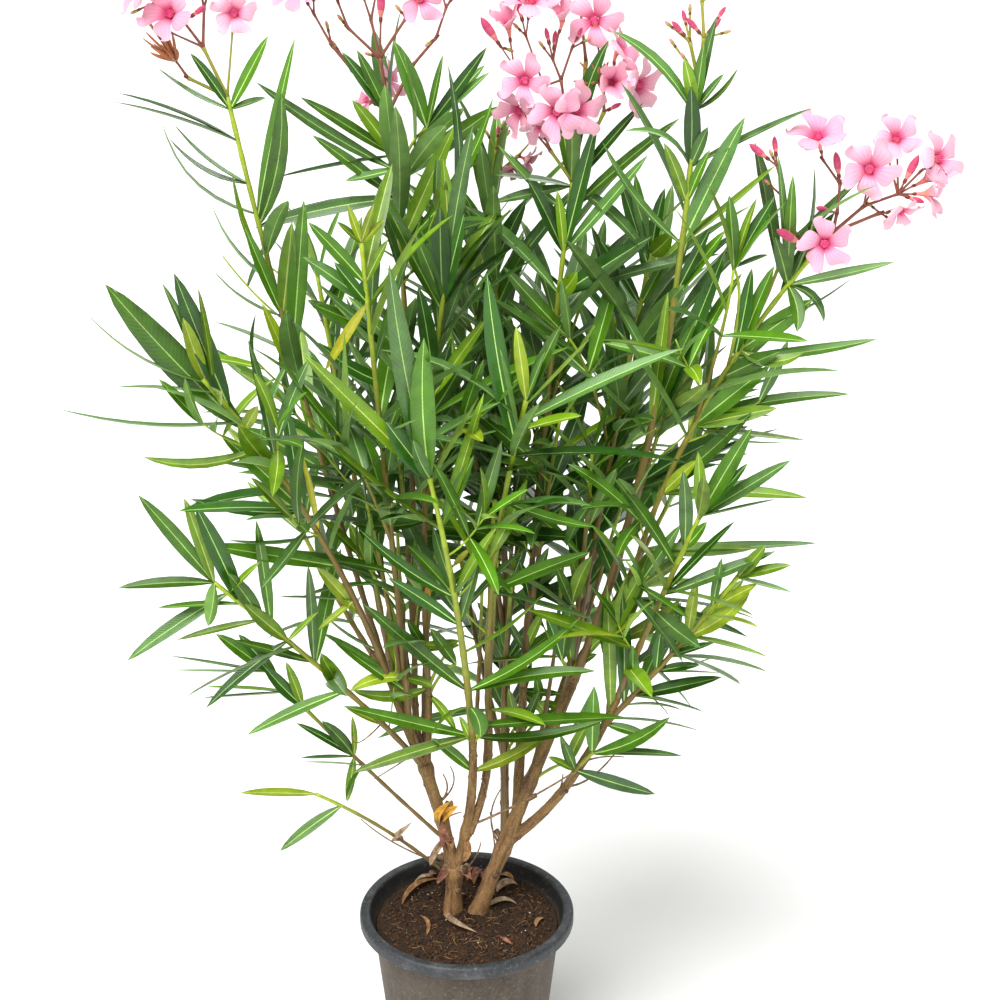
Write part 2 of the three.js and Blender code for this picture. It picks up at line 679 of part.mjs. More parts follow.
// The whole plant: limbs first, then every mass's stem, twigs and heads, then the leaves whorl by
// whorl, so that each mass gets its share of the room.
const pot = potSolid();
const soil = soilSolid();
const limbs = LIMBS.map((limb) => [limb[0], growLimb(limb)]);
for (const solid of [pot, soil, ...grownLimbs]) place(solid);
const masses = Object.entries(SHOOTS).map(([name, shoot], number) => ({ name, number, shoot }));
masses.forEach(growStem);
masses.forEach(growSideTwigs);
masses.forEach(growHead);
masses.forEach(growReach);
for (let whorl = 0; whorl <= MOST_WHORLS; whorl += WHORLS_STEPPED) {
  for (const mass of masses) mass.branches.forEach((_, branch) => growWhorl(mass, branch, whorl));
}

const COLOURS = {
  pot: ["#6b6056", 0.7],
  soil: ["#3a2a1e", 1],
  bark: ["#8d7253", 0.85],
  foliage: ["#4f7d2b", 0.5],
};

// A named mesh with its own material.
function piece(name, solid, finish) {
  const [color, roughness] = COLOURS[finish];
  const material = new THREE.MeshStandardMaterial({ color, roughness, metalness: 0 });
  const mesh = new THREE.Mesh(geometryOf(solid), material);
  mesh.name = name;
  return mesh;
}

const oleander = new THREE.Group();
oleander.add(piece("pot", pot, "pot"), piece("soil", soil, "soil"));
for (const [name, solid] of limbs) oleander.add(piece(name, solid, "bark"));
for (const mass of masses) oleander.add(piece(`foliage_${mass.name}`, largest(mass.solid), "foliage"));
export default oleander;
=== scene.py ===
# Potted oleander in flower: a plastic nursery pot of soil, two trunks, their boughs, and leafy shoots
# that end in heads of pink flowers. The tables are in millimetres, and the meshes are in metres.
import math
from math import radians

import bpy
import numpy as np
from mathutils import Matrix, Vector
from numpy.linalg import norm


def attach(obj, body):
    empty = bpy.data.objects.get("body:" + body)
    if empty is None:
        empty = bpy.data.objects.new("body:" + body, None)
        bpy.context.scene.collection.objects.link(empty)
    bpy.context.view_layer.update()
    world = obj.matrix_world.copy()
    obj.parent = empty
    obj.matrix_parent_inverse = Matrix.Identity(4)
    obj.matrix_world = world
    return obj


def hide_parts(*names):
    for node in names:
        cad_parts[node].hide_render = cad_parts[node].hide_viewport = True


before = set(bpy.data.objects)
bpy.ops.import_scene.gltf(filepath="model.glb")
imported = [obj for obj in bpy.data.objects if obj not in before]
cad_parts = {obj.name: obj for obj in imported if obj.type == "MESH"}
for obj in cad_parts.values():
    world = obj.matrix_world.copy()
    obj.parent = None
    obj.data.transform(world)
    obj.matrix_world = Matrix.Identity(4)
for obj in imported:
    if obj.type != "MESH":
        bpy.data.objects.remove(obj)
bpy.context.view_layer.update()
mm = 0.001
scene = bpy.context.scene


# a hex colour as a linear one, made lighter or darker by a factor
def tint(code, factor=1.0):
    parts = [int(code[i:i + 2], 16) / 255 for i in (1, 3, 5)]
    linear = [c / 12.92 if c <= 0.04045 else ((c + 0.055) / 1.055) ** 2.4 for c in parts]
    return (*(min(1.0, c * factor) for c in linear), 1.0)


# wraps an output socket, so that a sum of wires adds the Math nodes that work it out
class Wire:
    def __init__(self, tree, socket=None):
        self.tree = tree
        self.socket = socket

    # any node: its settings are set first, then the numbers or wires of its input sockets
    def node(self, kind, settings=None, inputs=None, output=0):
        made = self.tree.nodes.new("ShaderNode" + kind)
        for key, value in (settings or {}).items():
            setattr(made, key, value)
        for key, value in (inputs or {}).items():
            if isinstance(value, Wire):
                self.tree.links.new(value.socket, made.inputs[key])
            else:
                made.inputs[key].default_value = value
        return Wire(self.tree, made.outputs[output])

    def maths(self, operation, first, second=0.0):
        return self.node("Math", {"operation": operation}, {0: first, 1: second})

    def __add__(self, other):
        return self.maths("ADD", self, other)

    def __sub__(self, other):
        return self.maths("SUBTRACT", self, other)

    def __rsub__(self, other):
        return self.maths("SUBTRACT", other, self)

    def __mul__(self, other):
        return self.maths("MULTIPLY", self, other)

    __radd__, __rmul__ = __add__, __mul__

    def __abs__(self):
        return self.maths("ABSOLUTE", self)

    def sine(self):
        return self.maths("SINE", self)

    def noise(self, scale, detail=3.0, roughness=0.55):
        inputs = {"Scale": scale, "Detail": detail, "Roughness": roughness, "Vector": self}
        return self.node("TexNoise", {}, inputs)

    # a grey ramp from 0 below a first value to 1 above a second
    def step(self, low=0.0, high=1.0):
        inputs = {"Value": self, "From Min": low, "From Max": high}
        return self.node("MapRange", {"clamp": True}, inputs)

    # a colour between two, given as hex codes, colours or wires, as this wire goes from 0 to 1
    def mix(self, first, second):
        first, second = (tint(c) if isinstance(c, str) else c for c in (first, second))
        settings = {"data_type": "RGBA", "blend_type": "MIX"}
        return self.node("Mix", settings, {0: self, 6: first, 7: second}, 2)

    def scaled(self, *scale):
        return self.node("Mapping", {}, {"Vector": self, "Scale": scale})

    def parts(self):
        made = self.node("SeparateXYZ", {}, {"Vector": self})
        return [Wire(self.tree, socket) for socket in made.socket.node.outputs]

    # a value that the points of the mesh carry
    def carried(self, name, output="Vector"):
        return self.node("Attribute", {"attribute_name": name}, output=output)


# a material and a wire on its Object coordinates
def startMaterial(name):
    material = bpy.data.materials.new(name)
    material.use_nodes = True
    tree = material.node_tree
    objectPlace = Wire(tree).node("TexCoord", output="Object")
    return material, objectPlace


# sets the sockets of the material's shader: numbers and colours directly, wires as links
def finishMaterial(material, height=None, lift=0.3, depth=0.0005, **sockets):
    tree = material.node_tree
    shader = tree.nodes["Principled BSDF"]
    for key, value in sockets.items():
        socket = shader.inputs[key.replace("_", " ")]
        if isinstance(value, Wire):
            tree.links.new(value.socket, socket)
        else:
            socket.default_value = value
    if height is not None:
        bump = Wire(tree).node("Bump", {}, {"Strength": lift, "Distance": depth, "Height": height})
        tree.links.new(bump.socket, shader.inputs["Normal"])
    return material


def unit(v):
    return v / np.maximum(norm(v, axis=-1, keepdims=True), 1e-12)


def place(*p):
    return np.array(p, float)


# a repeatable number from 0 to 1 for three whole numbers
def chance(a, b, c):
    s = np.sin(a * 127.1 + b * 311.7 + c * 74.7) * 43758.5453
    return s - np.floor(s)


# evenly spaced angles, once round a circle
def onceRound(count):
    return np.linspace(0, 2 * np.pi, count, endpoint=False)


# points round the Z axis: (radius cos a, radius sin a, height)
def aroundAxis(radius, a, height):
    return np.stack(np.broadcast_arrays(radius * np.cos(a), radius * np.sin(a), height), -1)


def addThing(name, data):
    thing = bpy.data.objects.new(name, data)
    scene.collection.objects.link(thing)
    return thing


# gathers surfaces that become one mesh: points, faces by their number of corners, face finishes
# and point values
class Bundle:
    def __init__(self, *names):
        self.points = []
        self.faces = []
        self.finishes = []
        self.values = {name: [] for name in names}
        self.count = 0

    def add(self, points, faces, finishes=0, **values):
        points = points.reshape(-1, 3)
        for i, group in enumerate(faces):
            finish = finishes[i] if isinstance(finishes, list) else finishes
            self.faces.append(group + self.count)
            self.finishes.append(np.broadcast_to(finish, len(group)))
        for key, value in values.items():
            self.values.setdefault(key, []).append(value.reshape(len(points), -1))
        for key in self.values.keys() - values.keys():
            self.values[key].append(np.zeros((len(points), 3)))
        self.points.append(points)
        self.count += len(points)

    # a tube along a route with a section for each radius, its foot sunk into what carries it
    def addTube(self, route, radii, sides, finishes=0, sunk=0.0):
        centres = route.at(np.linspace(0, 1, len(radii)))
        centres[0] -= route.along(0.0) * sunk
        points = tube(centres, radii, sides, squareTo(route.along(0.5)))
        self.add(points, ringFaces(len(radii), sides), finishes)

    # the bundle as an object, and the CAD nodes that it replaces
    def piece(self, name, materials, slot, nodes=(), sharp=None, sharpAngle=None):
        points = np.concatenate(self.points)
        mesh = bpy.data.meshes.new(name)
        mesh.vertices.add(len(points))
        mesh.vertices.foreach_set("co", (points * mm).astype(np.float32).ravel())
        corners = np.concatenate([f.ravel() for f in self.faces]).astype(np.int32)
        sizes = np.concatenate([np.full(len(f), f.shape[1]) for f in self.faces])
        mesh.loops.add(len(corners))
        mesh.loops.foreach_set("vertex_index", corners)
        mesh.polygons.add(len(sizes))
        mesh.polygons.foreach_set("loop_start", (np.cumsum(sizes) - sizes).astype(np.int32))
        mesh.update(calc_edges=True)
        for material in materials:
            mesh.materials.append(material)
        mesh.polygons.foreach_set("material_index", np.concatenate(self.finishes).astype(np.int32))
        mesh.polygons.foreach_set("use_smooth", np.ones(len(sizes), bool))
        for key, value in self.values.items():
            value = np.concatenate(value)
            kind = "FLOAT" if value.shape[1] == 1 else "FLOAT_VECTOR"
            layer = mesh.attributes.new(key, kind, "POINT")
            field = "value" if kind == "FLOAT" else "vector"
            layer.data.foreach_set(field, value.astype(np.float32).ravel())
        if sharp is not None:
            ends = np.empty(len(mesh.edges) * 2, np.int32)
            mesh.edges.foreach_get("vertices", ends)
            layer = mesh.attributes.new("sharp_edge", "BOOLEAN", "EDGE")
            layer.data.foreach_set("value", sharp(ends.reshape(-1, 2)))
        if sharpAngle:
            mesh.set_sharp_from_angle(angle=radians(sharpAngle))
        mesh.validate()
        thing = addThing(name, mesh)
        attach(thing, "root")
        if nodes:
            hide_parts(*nodes)
        print(f"  {name}: {len(mesh.polygons)} faces")
        return thing


# the quads between neighbouring rings of a closed section, and the two end faces: ring i, corner j
def ringFaces(rings, corners, reverse=False):
    i, j = np.meshgrid(np.arange(rings - 1), np.arange(corners), indexing="ij")
    k = (j + 1) % corners
    quads = np.stack([i * corners + j, i * corners + k, (i + 1) * corners + k, (i + 1) * corners + j], -1)
    foot = np.arange(corners)[::-1][None]
    tip = (np.arange(corners) + (rings - 1) * corners)[None]
    if reverse:
        return [quads.reshape(-1, 4)[:, ::-1], foot[:, ::-1], tip[:, ::-1]]
    return [quads.reshape(-1, 4), foot, tip]


# Curves: a smooth curve through a foot, a knee at half way and a tip
class Route:
    def __init__(self, foot, knee, tip):
        self.foot, self.tip = place(*foot), place(*tip)
        self.control = 2 * place(*knee) - (self.foot + self.tip) / 2
        steps = np.diff(self.at(np.linspace(0, 1, 201)), axis=0)
        self.length = np.cumsum(norm(steps, axis=1))[-1]

    # points at t from 0 to 1: (1-t)^2 foot + 2t(1-t) control + t^2 tip
    def at(self, t):
        t = np.asarray(t, float)[..., None]
        return (1 - t) ** 2 * self.foot + 2 * t * (1 - t) * self.control + t * t * self.tip

    def along(self, t):
        t = np.asarray(t, float)[..., None]
        return unit((1 - t) * (self.control - self.foot) + t * (self.tip - self.control))


def straight(foot, tip):
    return Route(foot, (place(*foot) + place(*tip)) / 2, tip)


# two directions square to others, turned as little as they can be along a curve
def sidesOf(direction):
    reference = np.array([1.0, 0, 0])
    first = unit(reference - direction * (direction @ reference)[..., None])
    return first, np.cross(direction, first)


# a direction that leans from another by one angle, on the side that an angle round it gives
def leanFrom(direction, lean, around):
    first, second = sidesOf(direction)
    out = first * math.cos(around) + second * math.sin(around)
    return direction * math.cos(lean) + out * math.sin(lean)


# a tube: centre + radius (cos a, sin a) on the two sides of the path, a going once round
def tube(centres, radii, sides, reference=(1.0, 0, 0)):
    radii = radii.reshape(len(centres), -1)
    along = unit(np.gradient(centres, axis=0))
    reference = np.asarray(reference, float)
    first = unit(reference - along * (along @ reference)[:, None])
    second = np.cross(along, first)
    a = onceRound(sides)[None, :, None]
    return centres[:, None] + (first[:, None] * np.cos(a) + second[:, None] * np.sin(a)) * radii[..., None]


def squareTo(direction):
    axes = np.eye(3)
    return axes[np.argmin(np.abs(axes @ direction))]


# smooth noise as a sum of sines of unlike lengths: waves(x, y) is about -1 to 1
def waves(x, y, seed=0.0):
    total = 0.0
    for i, (p, q) in enumerate([(1.0, 0.71), (-0.83, 1.37), (1.91, -1.13), (-1.57, -2.29)]):
        total = total + np.sin(p * x + q * y + seed * (i + 1.7) + i * 2.1) / (1 + 0.5 * i)
    return total / 2.5


# Trunks and boughs: name, what it grows from, foot, knee, tip, foot radius, tip radius
limbs = [
    ("trunk_left", "soil", [-18, 14, 180], [-15, 10, 222], [-14, 8, 260], 9, 8),
    ("trunk_right", "soil", [7, 13, 180], [61, 12, 335], [117, 5, 490], 9, 5.2),
    ("bough_left", "trunk_left", [-14, 8, 254], [-28, 4, 325], [-45, 0, 392], 7.2, 5.4),
    ("bough_left_outer", "bough_left", [-45, 0, 389], [-61, -4, 430], [-75, -11, 480], 4.6, 3.6),
    ("bough_left_middle", "bough_left", [-44, 0, 386], [-52, 6, 430], [-54, 14, 485], 4.3, 3.4),
    ("bough_left_inner", "bough_left", [-43, 0, 380], [-40, -2, 425], [-38, -4, 475], 4.3, 3.4),
    ("bough_front", "trunk_left", [-14, 8, 250], [4, -4, 335], [7, -24, 436], 6, 4.2),
    ("bough_front_right", "bough_front", [3, 0, 306], [21, -4, 370], [25, -13, 445], 4.6, 3.6),
    ("bough_right", "trunk_right", [47, 12, 289], [107, -4, 362], [160, -16, 474], 6, 4),
    ("bough_centre", "trunk_right", [53, 12, 306], [60, 26, 380], [62, 34, 465], 5.2, 3.9),
    ("bough_back", "trunk_right", [43, 12, 274], [43, 44, 365], [46, 70, 460], 5, 3.9),
    ("bough_back_left", "bough_left", [-27, 4, 318], [-56, 48, 388], [-83, 92, 470], 4.8, 3.8),
    ("bough_back_right", "trunk_right", [69, 12, 360], [94, 48, 416], [122, 88, 486], 4.8, 3.8),
]

# Leaf tones, from old leaves to young ones, and then those of dying and dead leaves. On live leaves the grey
# tone is a grey-green that also stands in for the sky's reflection on glossy leaves, a painted sheen
tones = ["deep", "grey", "mid", "fresh", "young", "yellow", "dry"]
deep, grey, mid, fresh, young, yellow, dry = tones

# Leafy shoots: name, the stem's foot, knee and tip, how much of the stem is leafy, how much at its tip is
# bare under a flower head, the share of leaves it has, the height below which it sheds them and the share
# kept there, the radius of a thin one, how woody and how fresh it is, its side twigs as (place on the
# stem, tip), and leaves that reach far as (place on the stem, tip, then at will roll in degrees and tone)
shootRows = [
    ("left_wing", [-75, -11, 480], [-143, -52, 675], [-245, -90, 852],
     dict(leafy=0.95, share=0.25, fresh=1.5)),
    ("left_bloom", [-68, -7, 455], [-150, 20, 755], [-224, 35, 1096],
     dict(leafy=0.8, share=0.3, fresh=1.2)),
    ("left_front", [-58, -3, 424], [-74, -44, 690], [-94, -60, 975],
     dict(leafy=0.86, share=0.6, fresh=1.4, twigs=[(0.45, -120, -95, 800), (0.03, -98, -30, 706)])),
    ("middle_bloom", [-54, 14, 485], [-55, 40, 790], [-70, 50, 1079],
     dict(leafy=0.9, share=0.5, fresh=1.2, twigs=[(0.84, -33, 45, 1064), (0.03, -67, 25, 739),
          (0.06, -28, 50, 697)])),
    ("middle", [-38, -4, 475], [-38, -14, 720], [-11, -15, 955],
     dict(leafy=0.95, share=0.85, fresh=1.2, twigs=[(0.45, 0, -70, 800)])),
    ("left_low", [-42, 1, 380], [-120, -30, 490], [-250, -60, 630],
     dict(leafy=0.72, shed=480, share=0.35, woody=0.8, fresh=2.2)),
    ("left_low_back", [-21, 6, 290], [-112, 28, 374], [-213, 45, 480],
     dict(leafy=0.55, shed=300, share=0.1, thin=2.2, fresh=1.6, reach=[(0.5, -180, 5, 391),
          (0.5, -130, 0, 347)])),
    ("left_sucker", [-15, 9, 240], [-85, -18, 318], [-159, -38, 376],
     dict(leafy=0, thin=2.0, fresh=3.2)),
    ("front", [7, -24, 436], [-7, -66, 596], [-32, -120, 762],
     dict(leafy=0.5, share=0.5, woody=0.4, fresh=1.4, reach=[(0.04, 159, -120, 507, 0, mid)])),
    ("front_right", [25, -13, 445], [29, -46, 630], [60, -94, 830],
     dict(leafy=0.8, share=0.6, woody=0.6, fresh=1.4, twigs=[(0.03, 31, -45, 711)],
          reach=[(0.85, -64, -115, 807, 0, grey), (0.85, 213, -115, 774, 0, deep),
          (0.05, 81, -90, 483, 0, fresh)])),
    ("centre_bloom", [62, 34, 465], [82, 45, 740], [109, 50, 1010],
     dict(leafy=0.95, shed=680, share=0.65, fresh=1.2, twigs=[(0.5, 125, 95, 880), (0.03, 98, 20, 772)])),
    ("centre_back", [46, 70, 460], [40, 94, 735], [31, 96, 1005],
     dict(leafy=1.0, shed=620, kept=0.35, fresh=1.0, twigs=[(0.55, -25, 130, 900), (0.03, 59, 70, 756),
          (0.05, -1, 70, 767)])),
    ("right_inner", [107, 7, 462], [152, 44, 722], [195, 60, 965],
     dict(leafy=0.95, shed=680, share=0.85, fresh=1.2, twigs=[(0.5, 105, 20, 860),
          (0.03, 132, 25, 738)])),
    ("right_tall", [117, 5, 490], [190, -6, 780], [221, -15, 1120],
     dict(leafy=0.88, share=0.45, fresh=1.3, twigs=[(0.05, 206, 5, 798)])),
    ("right_bloom", [152, -14, 455], [208, -12, 725], [355, -25, 975],
     dict(leafy=0.8, bare=0.12, share=0.4, woody=0.7, fresh=1.4, twigs=[(0.78, 317, -20, 985),
          (0.6, 259, -40, 944)])),
    ("right_front", [160, -16, 474], [192, -44, 582], [232, -75, 704],
     dict(leafy=0.9, shed=600, share=0.5, woody=0.8, fresh=2.4)),
    ("right_low", [146, -12, 440], [214, -36, 536], [275, -58, 632],
     dict(leafy=0.82, shed=520, share=0.35, woody=0.8, fresh=2.8)),
    ("right_sucker", [104, -3, 357], [114, -14, 384], [136, -24, 416],
     dict(leafy=0, thin=2.0, fresh=3.2)),
    ("back_left", [-83, 92, 470], [-120, 146, 665], [-157, 198, 880],
     dict(leafy=0.95, kept=0.35, fresh=1.2, twigs=[(0.4, -195, 130, 760)])),
    ("back_left_low", [-72, 74, 436], [-142, 145, 520], [-210, 205, 640],
     dict(leafy=0.8, shed=560, kept=0.35, fresh=1.8)),
    ("back", [45, 60, 425], [26, 145, 640], [11, 225, 895],
     dict(leafy=1.0, shed=600, kept=0.4, fresh=1.0, twigs=[(0.55, 75, 215, 800), (0.05, 86, 100, 768)])),
    ("back_low", [43, 46, 370], [10, 146, 484], [-16, 238, 612],
     dict(leafy=0.85, shed=470, kept=0.4, fresh=1.4)),
    ("back_right", [122, 88, 486], [164, 145, 680], [207, 200, 885],
     dict(leafy=0.95, kept=0.35, fresh=1.2, twigs=[(0.4, 240, 120, 760), (0.05, 171, 110, 786)])),
    ("back_right_low", [110, 70, 455], [186, 142, 552], [255, 200, 665],
     dict(leafy=0.8, shed=560, kept=0.35, fresh=2.0)),
]


# Parts of a flower head: an arm carries others, and a spent flower is a withered one
arm, flower, half, bud, tiny, spent = "arm", "flower", "half", "bud", "tiny", "spent"

# Flower heads, by mass. Each row: what it grows from (a share of the stem's length, or the number of an
# arm above it), its end's place across and down in the photo's frame, how far that end comes forward in
# mm, its kind, and at will the way it faces as three numbers, its size as one, or both
heads = {}
heads["left_bloom"] = [
    (1.0, 203, 47, 4, arm), (0, 184, 22, 0, arm), (1, 160, 0, 4, arm),
    (2, 138, -12, 10, flower, -0.7, -0.5, 0.4), (1, 168, 13, 14, flower, -0.3, -0.9, 0.3),
    (1, 176, -6, -6, arm), (5, 184, -30, -10, flower, 0.2, -0.3, 0.9), (5, 166, -34, 4, bud),
    (0, 204, 8, -6, arm), (8, 213, -24, -12, bud), (8, 196, -32, -8, bud),
    (1.0, 234, 13, 12, flower, 0.1, -0.95, 0.1, 0.86), (1.0, 188, 78, 0, arm), (12, 162, 42, 0, spent),
    (0, 165, 30, 10, tiny), (2, 134, 12, 0, tiny), (2, 146, 14, -6, bud, 0.6), (1, 200, 10, 6, bud, 0.7),
    (12, 150, 24, 0, tiny), (5, 160, -12, -8, tiny),
]
heads["middle_bloom"] = [
    (1.0, 380, 58, 0, arm), (1.0, 352, 70, 4, arm), (1, 332, 46, 8, arm), (2, 314, 14, 10, arm),
    (3, 298, -12, 14, flower, -0.5, -0.7, 0.5), (3, 313, -16, 0, bud), (2, 327, 25, 4, tiny),
    (0, 348, 28, 2, arm), (7, 338, 2, 4, arm), (8, 328, -24, 8, flower, -0.3, -0.6, 0.7),
    (8, 343, -24, -4, bud), (0, 371, 20, -6, arm), (11, 359, -16, -8, bud),
    (11, 380, -26, -12, flower, 0.2, -0.5, 0.8), (0, 381, 2, 8, bud, 1.15), (0, 406, 18, 4, arm),
    (15, 421, -2, 10, flower, 0.3, -0.9, 0.2, 0.9), (1.0, 412, 66, 0, arm), (17, 436, 38, 2, arm),
    (18, 446, 8, 0, arm), (19, 462, -22, 2, bud), (19, 438, -22, -6, bud),
    (1.0, 391, 78, -34, flower, 0.9, -0.3, 0.3, 0.8), (1.0, 366, 100, -26, flower, -0.8, -0.3, 0.2, 0.8),
    (1, 334, 44, 0, tiny), (0, 368, 54, 8, tiny), (15, 398, 8, 0, tiny), (7, 340, 18, 0, tiny),
    (18, 428, 44, 6, tiny), (19, 454, -4, 6, tiny),
]
heads["centre_bloom"] = [
    (1.0, 568, 128, 6, arm), (0, 561, 80, 2, arm), (1, 553, 60, 0, arm),
    (2, 562, 18, 8, half, -0.1, -0.5, 0.9, 0.8), (2, 547, 34, 0, bud, 0.6), (2, 555, 38, -6, bud, 0.7),
    (1, 572, 48, -4, arm), (6, 587, 40, 0, tiny), (1, 544, 86, 6, arm), (8, 526, 36, 2, arm),
    (9, 519, 6, 4, bud), (9, 531, -2, 0, flower, 0, -0.6, 0.8), (8, 514, 66, 8, arm),
    (12, 501, 47, 8, arm), (13, 488, 28, 12, bud, 1.2), (12, 508, 26, 4, half, -0.2, -0.5, 0.8, 0.8),
    (1.0, 550, 150, 10, arm), (16, 524, 80, 26, flower, -0.15, -0.95, 0.15),
    (16, 517, 112, 18, flower, -0.6, -0.7, -0.3, 0.95), (0, 557, 112, 36, flower, 0.0, -1, 0.05, 1.08),
    (0, 578, 110, 28, flower, 0.4, -0.85, 0.0), (16, 541, 128, 20, flower, -0.1, -0.7, -0.7, 0.8),
    (1.0, 604, 112, 4, arm), (22, 604, 86, 4, arm), (23, 590, 76, 8, spent),
    (23, 612, 82, 14, half, 0.1, -0.9, 0.2, 1.0), (23, 641, 86, 10, flower, 0.7, -0.55, -0.1),
    (23, 622, 48, 4, flower, 0.75, -0.3, 0.5, 0.95), (23, 594, 20, -4, flower, -0.2, -0.95, 0.1, 1.05),
    (22, 616, 106, 10, bud, 0.6), (1.0, 586, 62, -34, arm), (30, 579, -4, -38, arm),
    (31, 573, -26, -38, bud, 0.6), (31, 590, -24, -36, bud, 0.6), (6, 580, 32, 4, bud, 0.5),
    (2, 541, 44, 6, tiny), (13, 510, 50, 6, tiny), (9, 516, 26, 0, tiny),
]
heads["right_bloom"] = [
    (1.0, 837, 213, 2, arm), (0, 840, 184, 2, arm), (1, 823, 160, 0, arm),
    (2, 818, 134, 4, flower, -0.15, -0.45, 0.85), (1, 837, 162, 6, bud, 1.0), (1, 851, 176, -4, tiny),
    (0.985, 825, 244, 34, flower, -0.05, -0.98, 0.1), (0, 822, 209, 12, bud, 0.75),
    (1.0, 864, 206, 4, arm), (8, 898, 194, 6, arm), (8, 870, 169, 14, flower, -0.1, -0.95, 0.15, 1.05),
    (9, 913, 166, 6, bud, 1.1), (9, 886, 150, -2, bud, 0.55), (9, 920, 172, 4, arm),
    (13, 941, 158, 8, flower, 0.5, -0.75, 0.3, 0.95), (9, 897, 138, -10, flower, -0.1, -0.85, 0.5),
    (9, 932, 194, 12, flower, 0.9, -0.4, 0.05, 0.95), (9, 917, 200, 10, bud, 0.7),
    (1.0, 880, 213, 8, arm), (18, 902, 213, 14, flower, 0.35, -0.6, -0.6, 0.8), (18, 869, 204, 4, tiny),
    (9, 928, 178, 0, half, 0.4, -0.7, 0.6, 0.9), (0.95, 791, 226, 0, arm), (22, 784, 198, 0, arm),
    (23, 777, 166, 0, arm), (24, 757, 150, 4, bud, 0.95), (24, 775, 144, -2, bud, 0.7),
    (24, 771, 153, 2, tiny), (0.96, 786, 235, 14, bud, 1.25), (8, 872, 190, 0, tiny),
    (18, 890, 219, 4, tiny), (23, 767, 182, 2, tiny),
]
heads["right_tall"] = [
    (1.0, 690, 42, 2, arm), (0, 684, 16, 2, bud, 0.55), (0, 677, 27, 6, bud, 0.7), (1.0, 704, 38, 0, arm),
    (3, 692, 24, 4, bud, 0.75), (3, 716, 24, 0, bud, 0.65), (3, 702, 2, -2, arm),
    (6, 707, -22, 0, bud, 0.65), (6, 694, -22, 4, bud, 0.65), (3, 727, 32, -4, tiny),
    (1.0, 672, 42, 0, tiny), (0, 668, 24, 2, tiny), (6, 714, -8, -2, bud, 0.5),
    (3, 722, 12, -4, bud, 0.55), (1.0, 683, 56, 6, tiny), (6, 700, -38, 0, bud, 0.5),
    (0, 690, 8, -4, tiny),
]
heads["centre_back"] = [
    (1.0, 496, 150, 2, arm), (0, 487, 133, 2, tiny), (0, 498, 130, 4, bud, 0.45), (0, 508, 133, 2, tiny),
    (1.0, 518, 156, 0, arm), (4, 529, 161, -4, flower, 0.6, -0.3, -0.3, 0.7),
    (4, 512, 170, -8, flower, 0.2, -0.5, -0.8, 0.7), (4, 534, 138, 0, tiny), (0, 503, 124, 0, tiny),
]

# Whorls that the photo shows. By mass: the foot's place across and down in its 1000 x 1000 frame, then
# its leaves as (tip across, tip down, width in mm, degrees that the upper face is turned up from facing
# the camera, tone), and at will the bow as a share of the length and how far the tip comes forward in mm.
sightings = {}
sightings["left_bloom"] = [
    (229, 112, (190, 53, 11, 20, deep), (158, 68, 14, 68, grey, -0.04), (268, 36, 13, 25, mid),
     (266, 98, 12, 55, grey)),
    (235, 138, (118, 93, 18, 84, deep, 0.06), (115, 102, 16, 84, mid, 0.05)),
    (250, 184, (169, 138, 16, 70, grey, -0.09), (174, 124, 13, 74, grey, -0.05)),
    (256, 212, (162, 123, 19, 85, mid, -0.13)),
    (258, 220, (295, 38, 13, 20, mid)),
    (267, 224, (281, 92, 20, 12, mid, -0.035)),
    (275, 284, (232, 172, 12, 58, fresh, -0.04), (212, 205, 19, 86, deep, -0.07)),
    (283, 318, (245, 228, 14, 20, mid), (213, 270, 15, 84, deep, -0.06), (292, 222, 19, 15, fresh)),
    (293, 352, (304, 200, 21, 10, mid), (215, 322, 16, 74, grey, 0.04), (260, 440, 14, 60, grey, 0.05)),
    (301, 392, (262, 303, 15, 25, young)),
]
sightings["left_wing"] = [
    (204, 381, (162, 283, 12, 40, grey), (183, 318, 16, 10, young), (87, 314, 17, 86, deep, -0.06)),
    (212, 392, (198, 288, 10, 45, fresh), (116, 387, 14, 86, deep, 0.04),
     (222, 392, 22, -30, young, 0, 70)),
    (230, 409, (174, 273, 23, 10, deep)),
    (238, 420, (59, 409, 17, 78, grey, -0.03)),
    (241, 432, (105, 284, 32, 5, mid, 0.02), (258, 406, 13, 10, young)),
    (259, 450, (143, 457, 15, 45, fresh, -0.08)),
    (276, 473, (238, 425, 22, 0, fresh, 0, 60), (248, 340, 13, 30, grey, 0.05)),
    (304, 511, (220, 434, 19, 10, mid), (285, 402, 17, 15, deep), (190, 499, 15, 30, deep, -0.02)),
    (318, 536, (300, 450, 8, 30, yellow), (228, 540, 13, 72, grey, -0.04)),
    (337, 566, (205, 545, 19, 20, mid, 0.02)),
    (353, 601, (278, 597, 15, 86, mid), (318, 630, 10, 40, young)),
    (364, 616, (316, 566, 16, 10, young)),
    (378, 648, (320, 610, 14, 84, deep, -0.04)),
    (385, 672, (322, 633, 11, 40, mid)),
]
sightings["left_low"] = [
    (215, 581, (138, 495, 17, 5, mid), (184, 498, 15, 15, fresh), (118, 588, 14, 30, mid, 0.06),
     (208, 626, 17, 150, grey, 0, 50)),
    (226, 593, (127, 661, 17, 20, grey, 0.06), (260, 562, 10, 50, fresh)),
    (243, 604, (195, 505, 21, 10, deep), (157, 608, 12, 60, mid, 0.04)),
    (260, 620, (177, 640, 10, 40, fresh, 0.04), (228, 573, 18, 10, mid)),
    (270, 627, (256, 520, 14, 15, mid)),
    (285, 643, (206, 708, 14, 25, deep, 0.04), (318, 612, 9, 40, fresh), (243, 603, 17, 15, fresh)),
    (314, 663, (308, 565, 13, 15, grey), (232, 640, 13, 40, mid)),
    (345, 692, (247, 735, 14, 20, mid, 0.05), (321, 653, 19, 0, fresh, 0, 40)),
    (385, 722, (345, 707, 10, 30, young)),
]
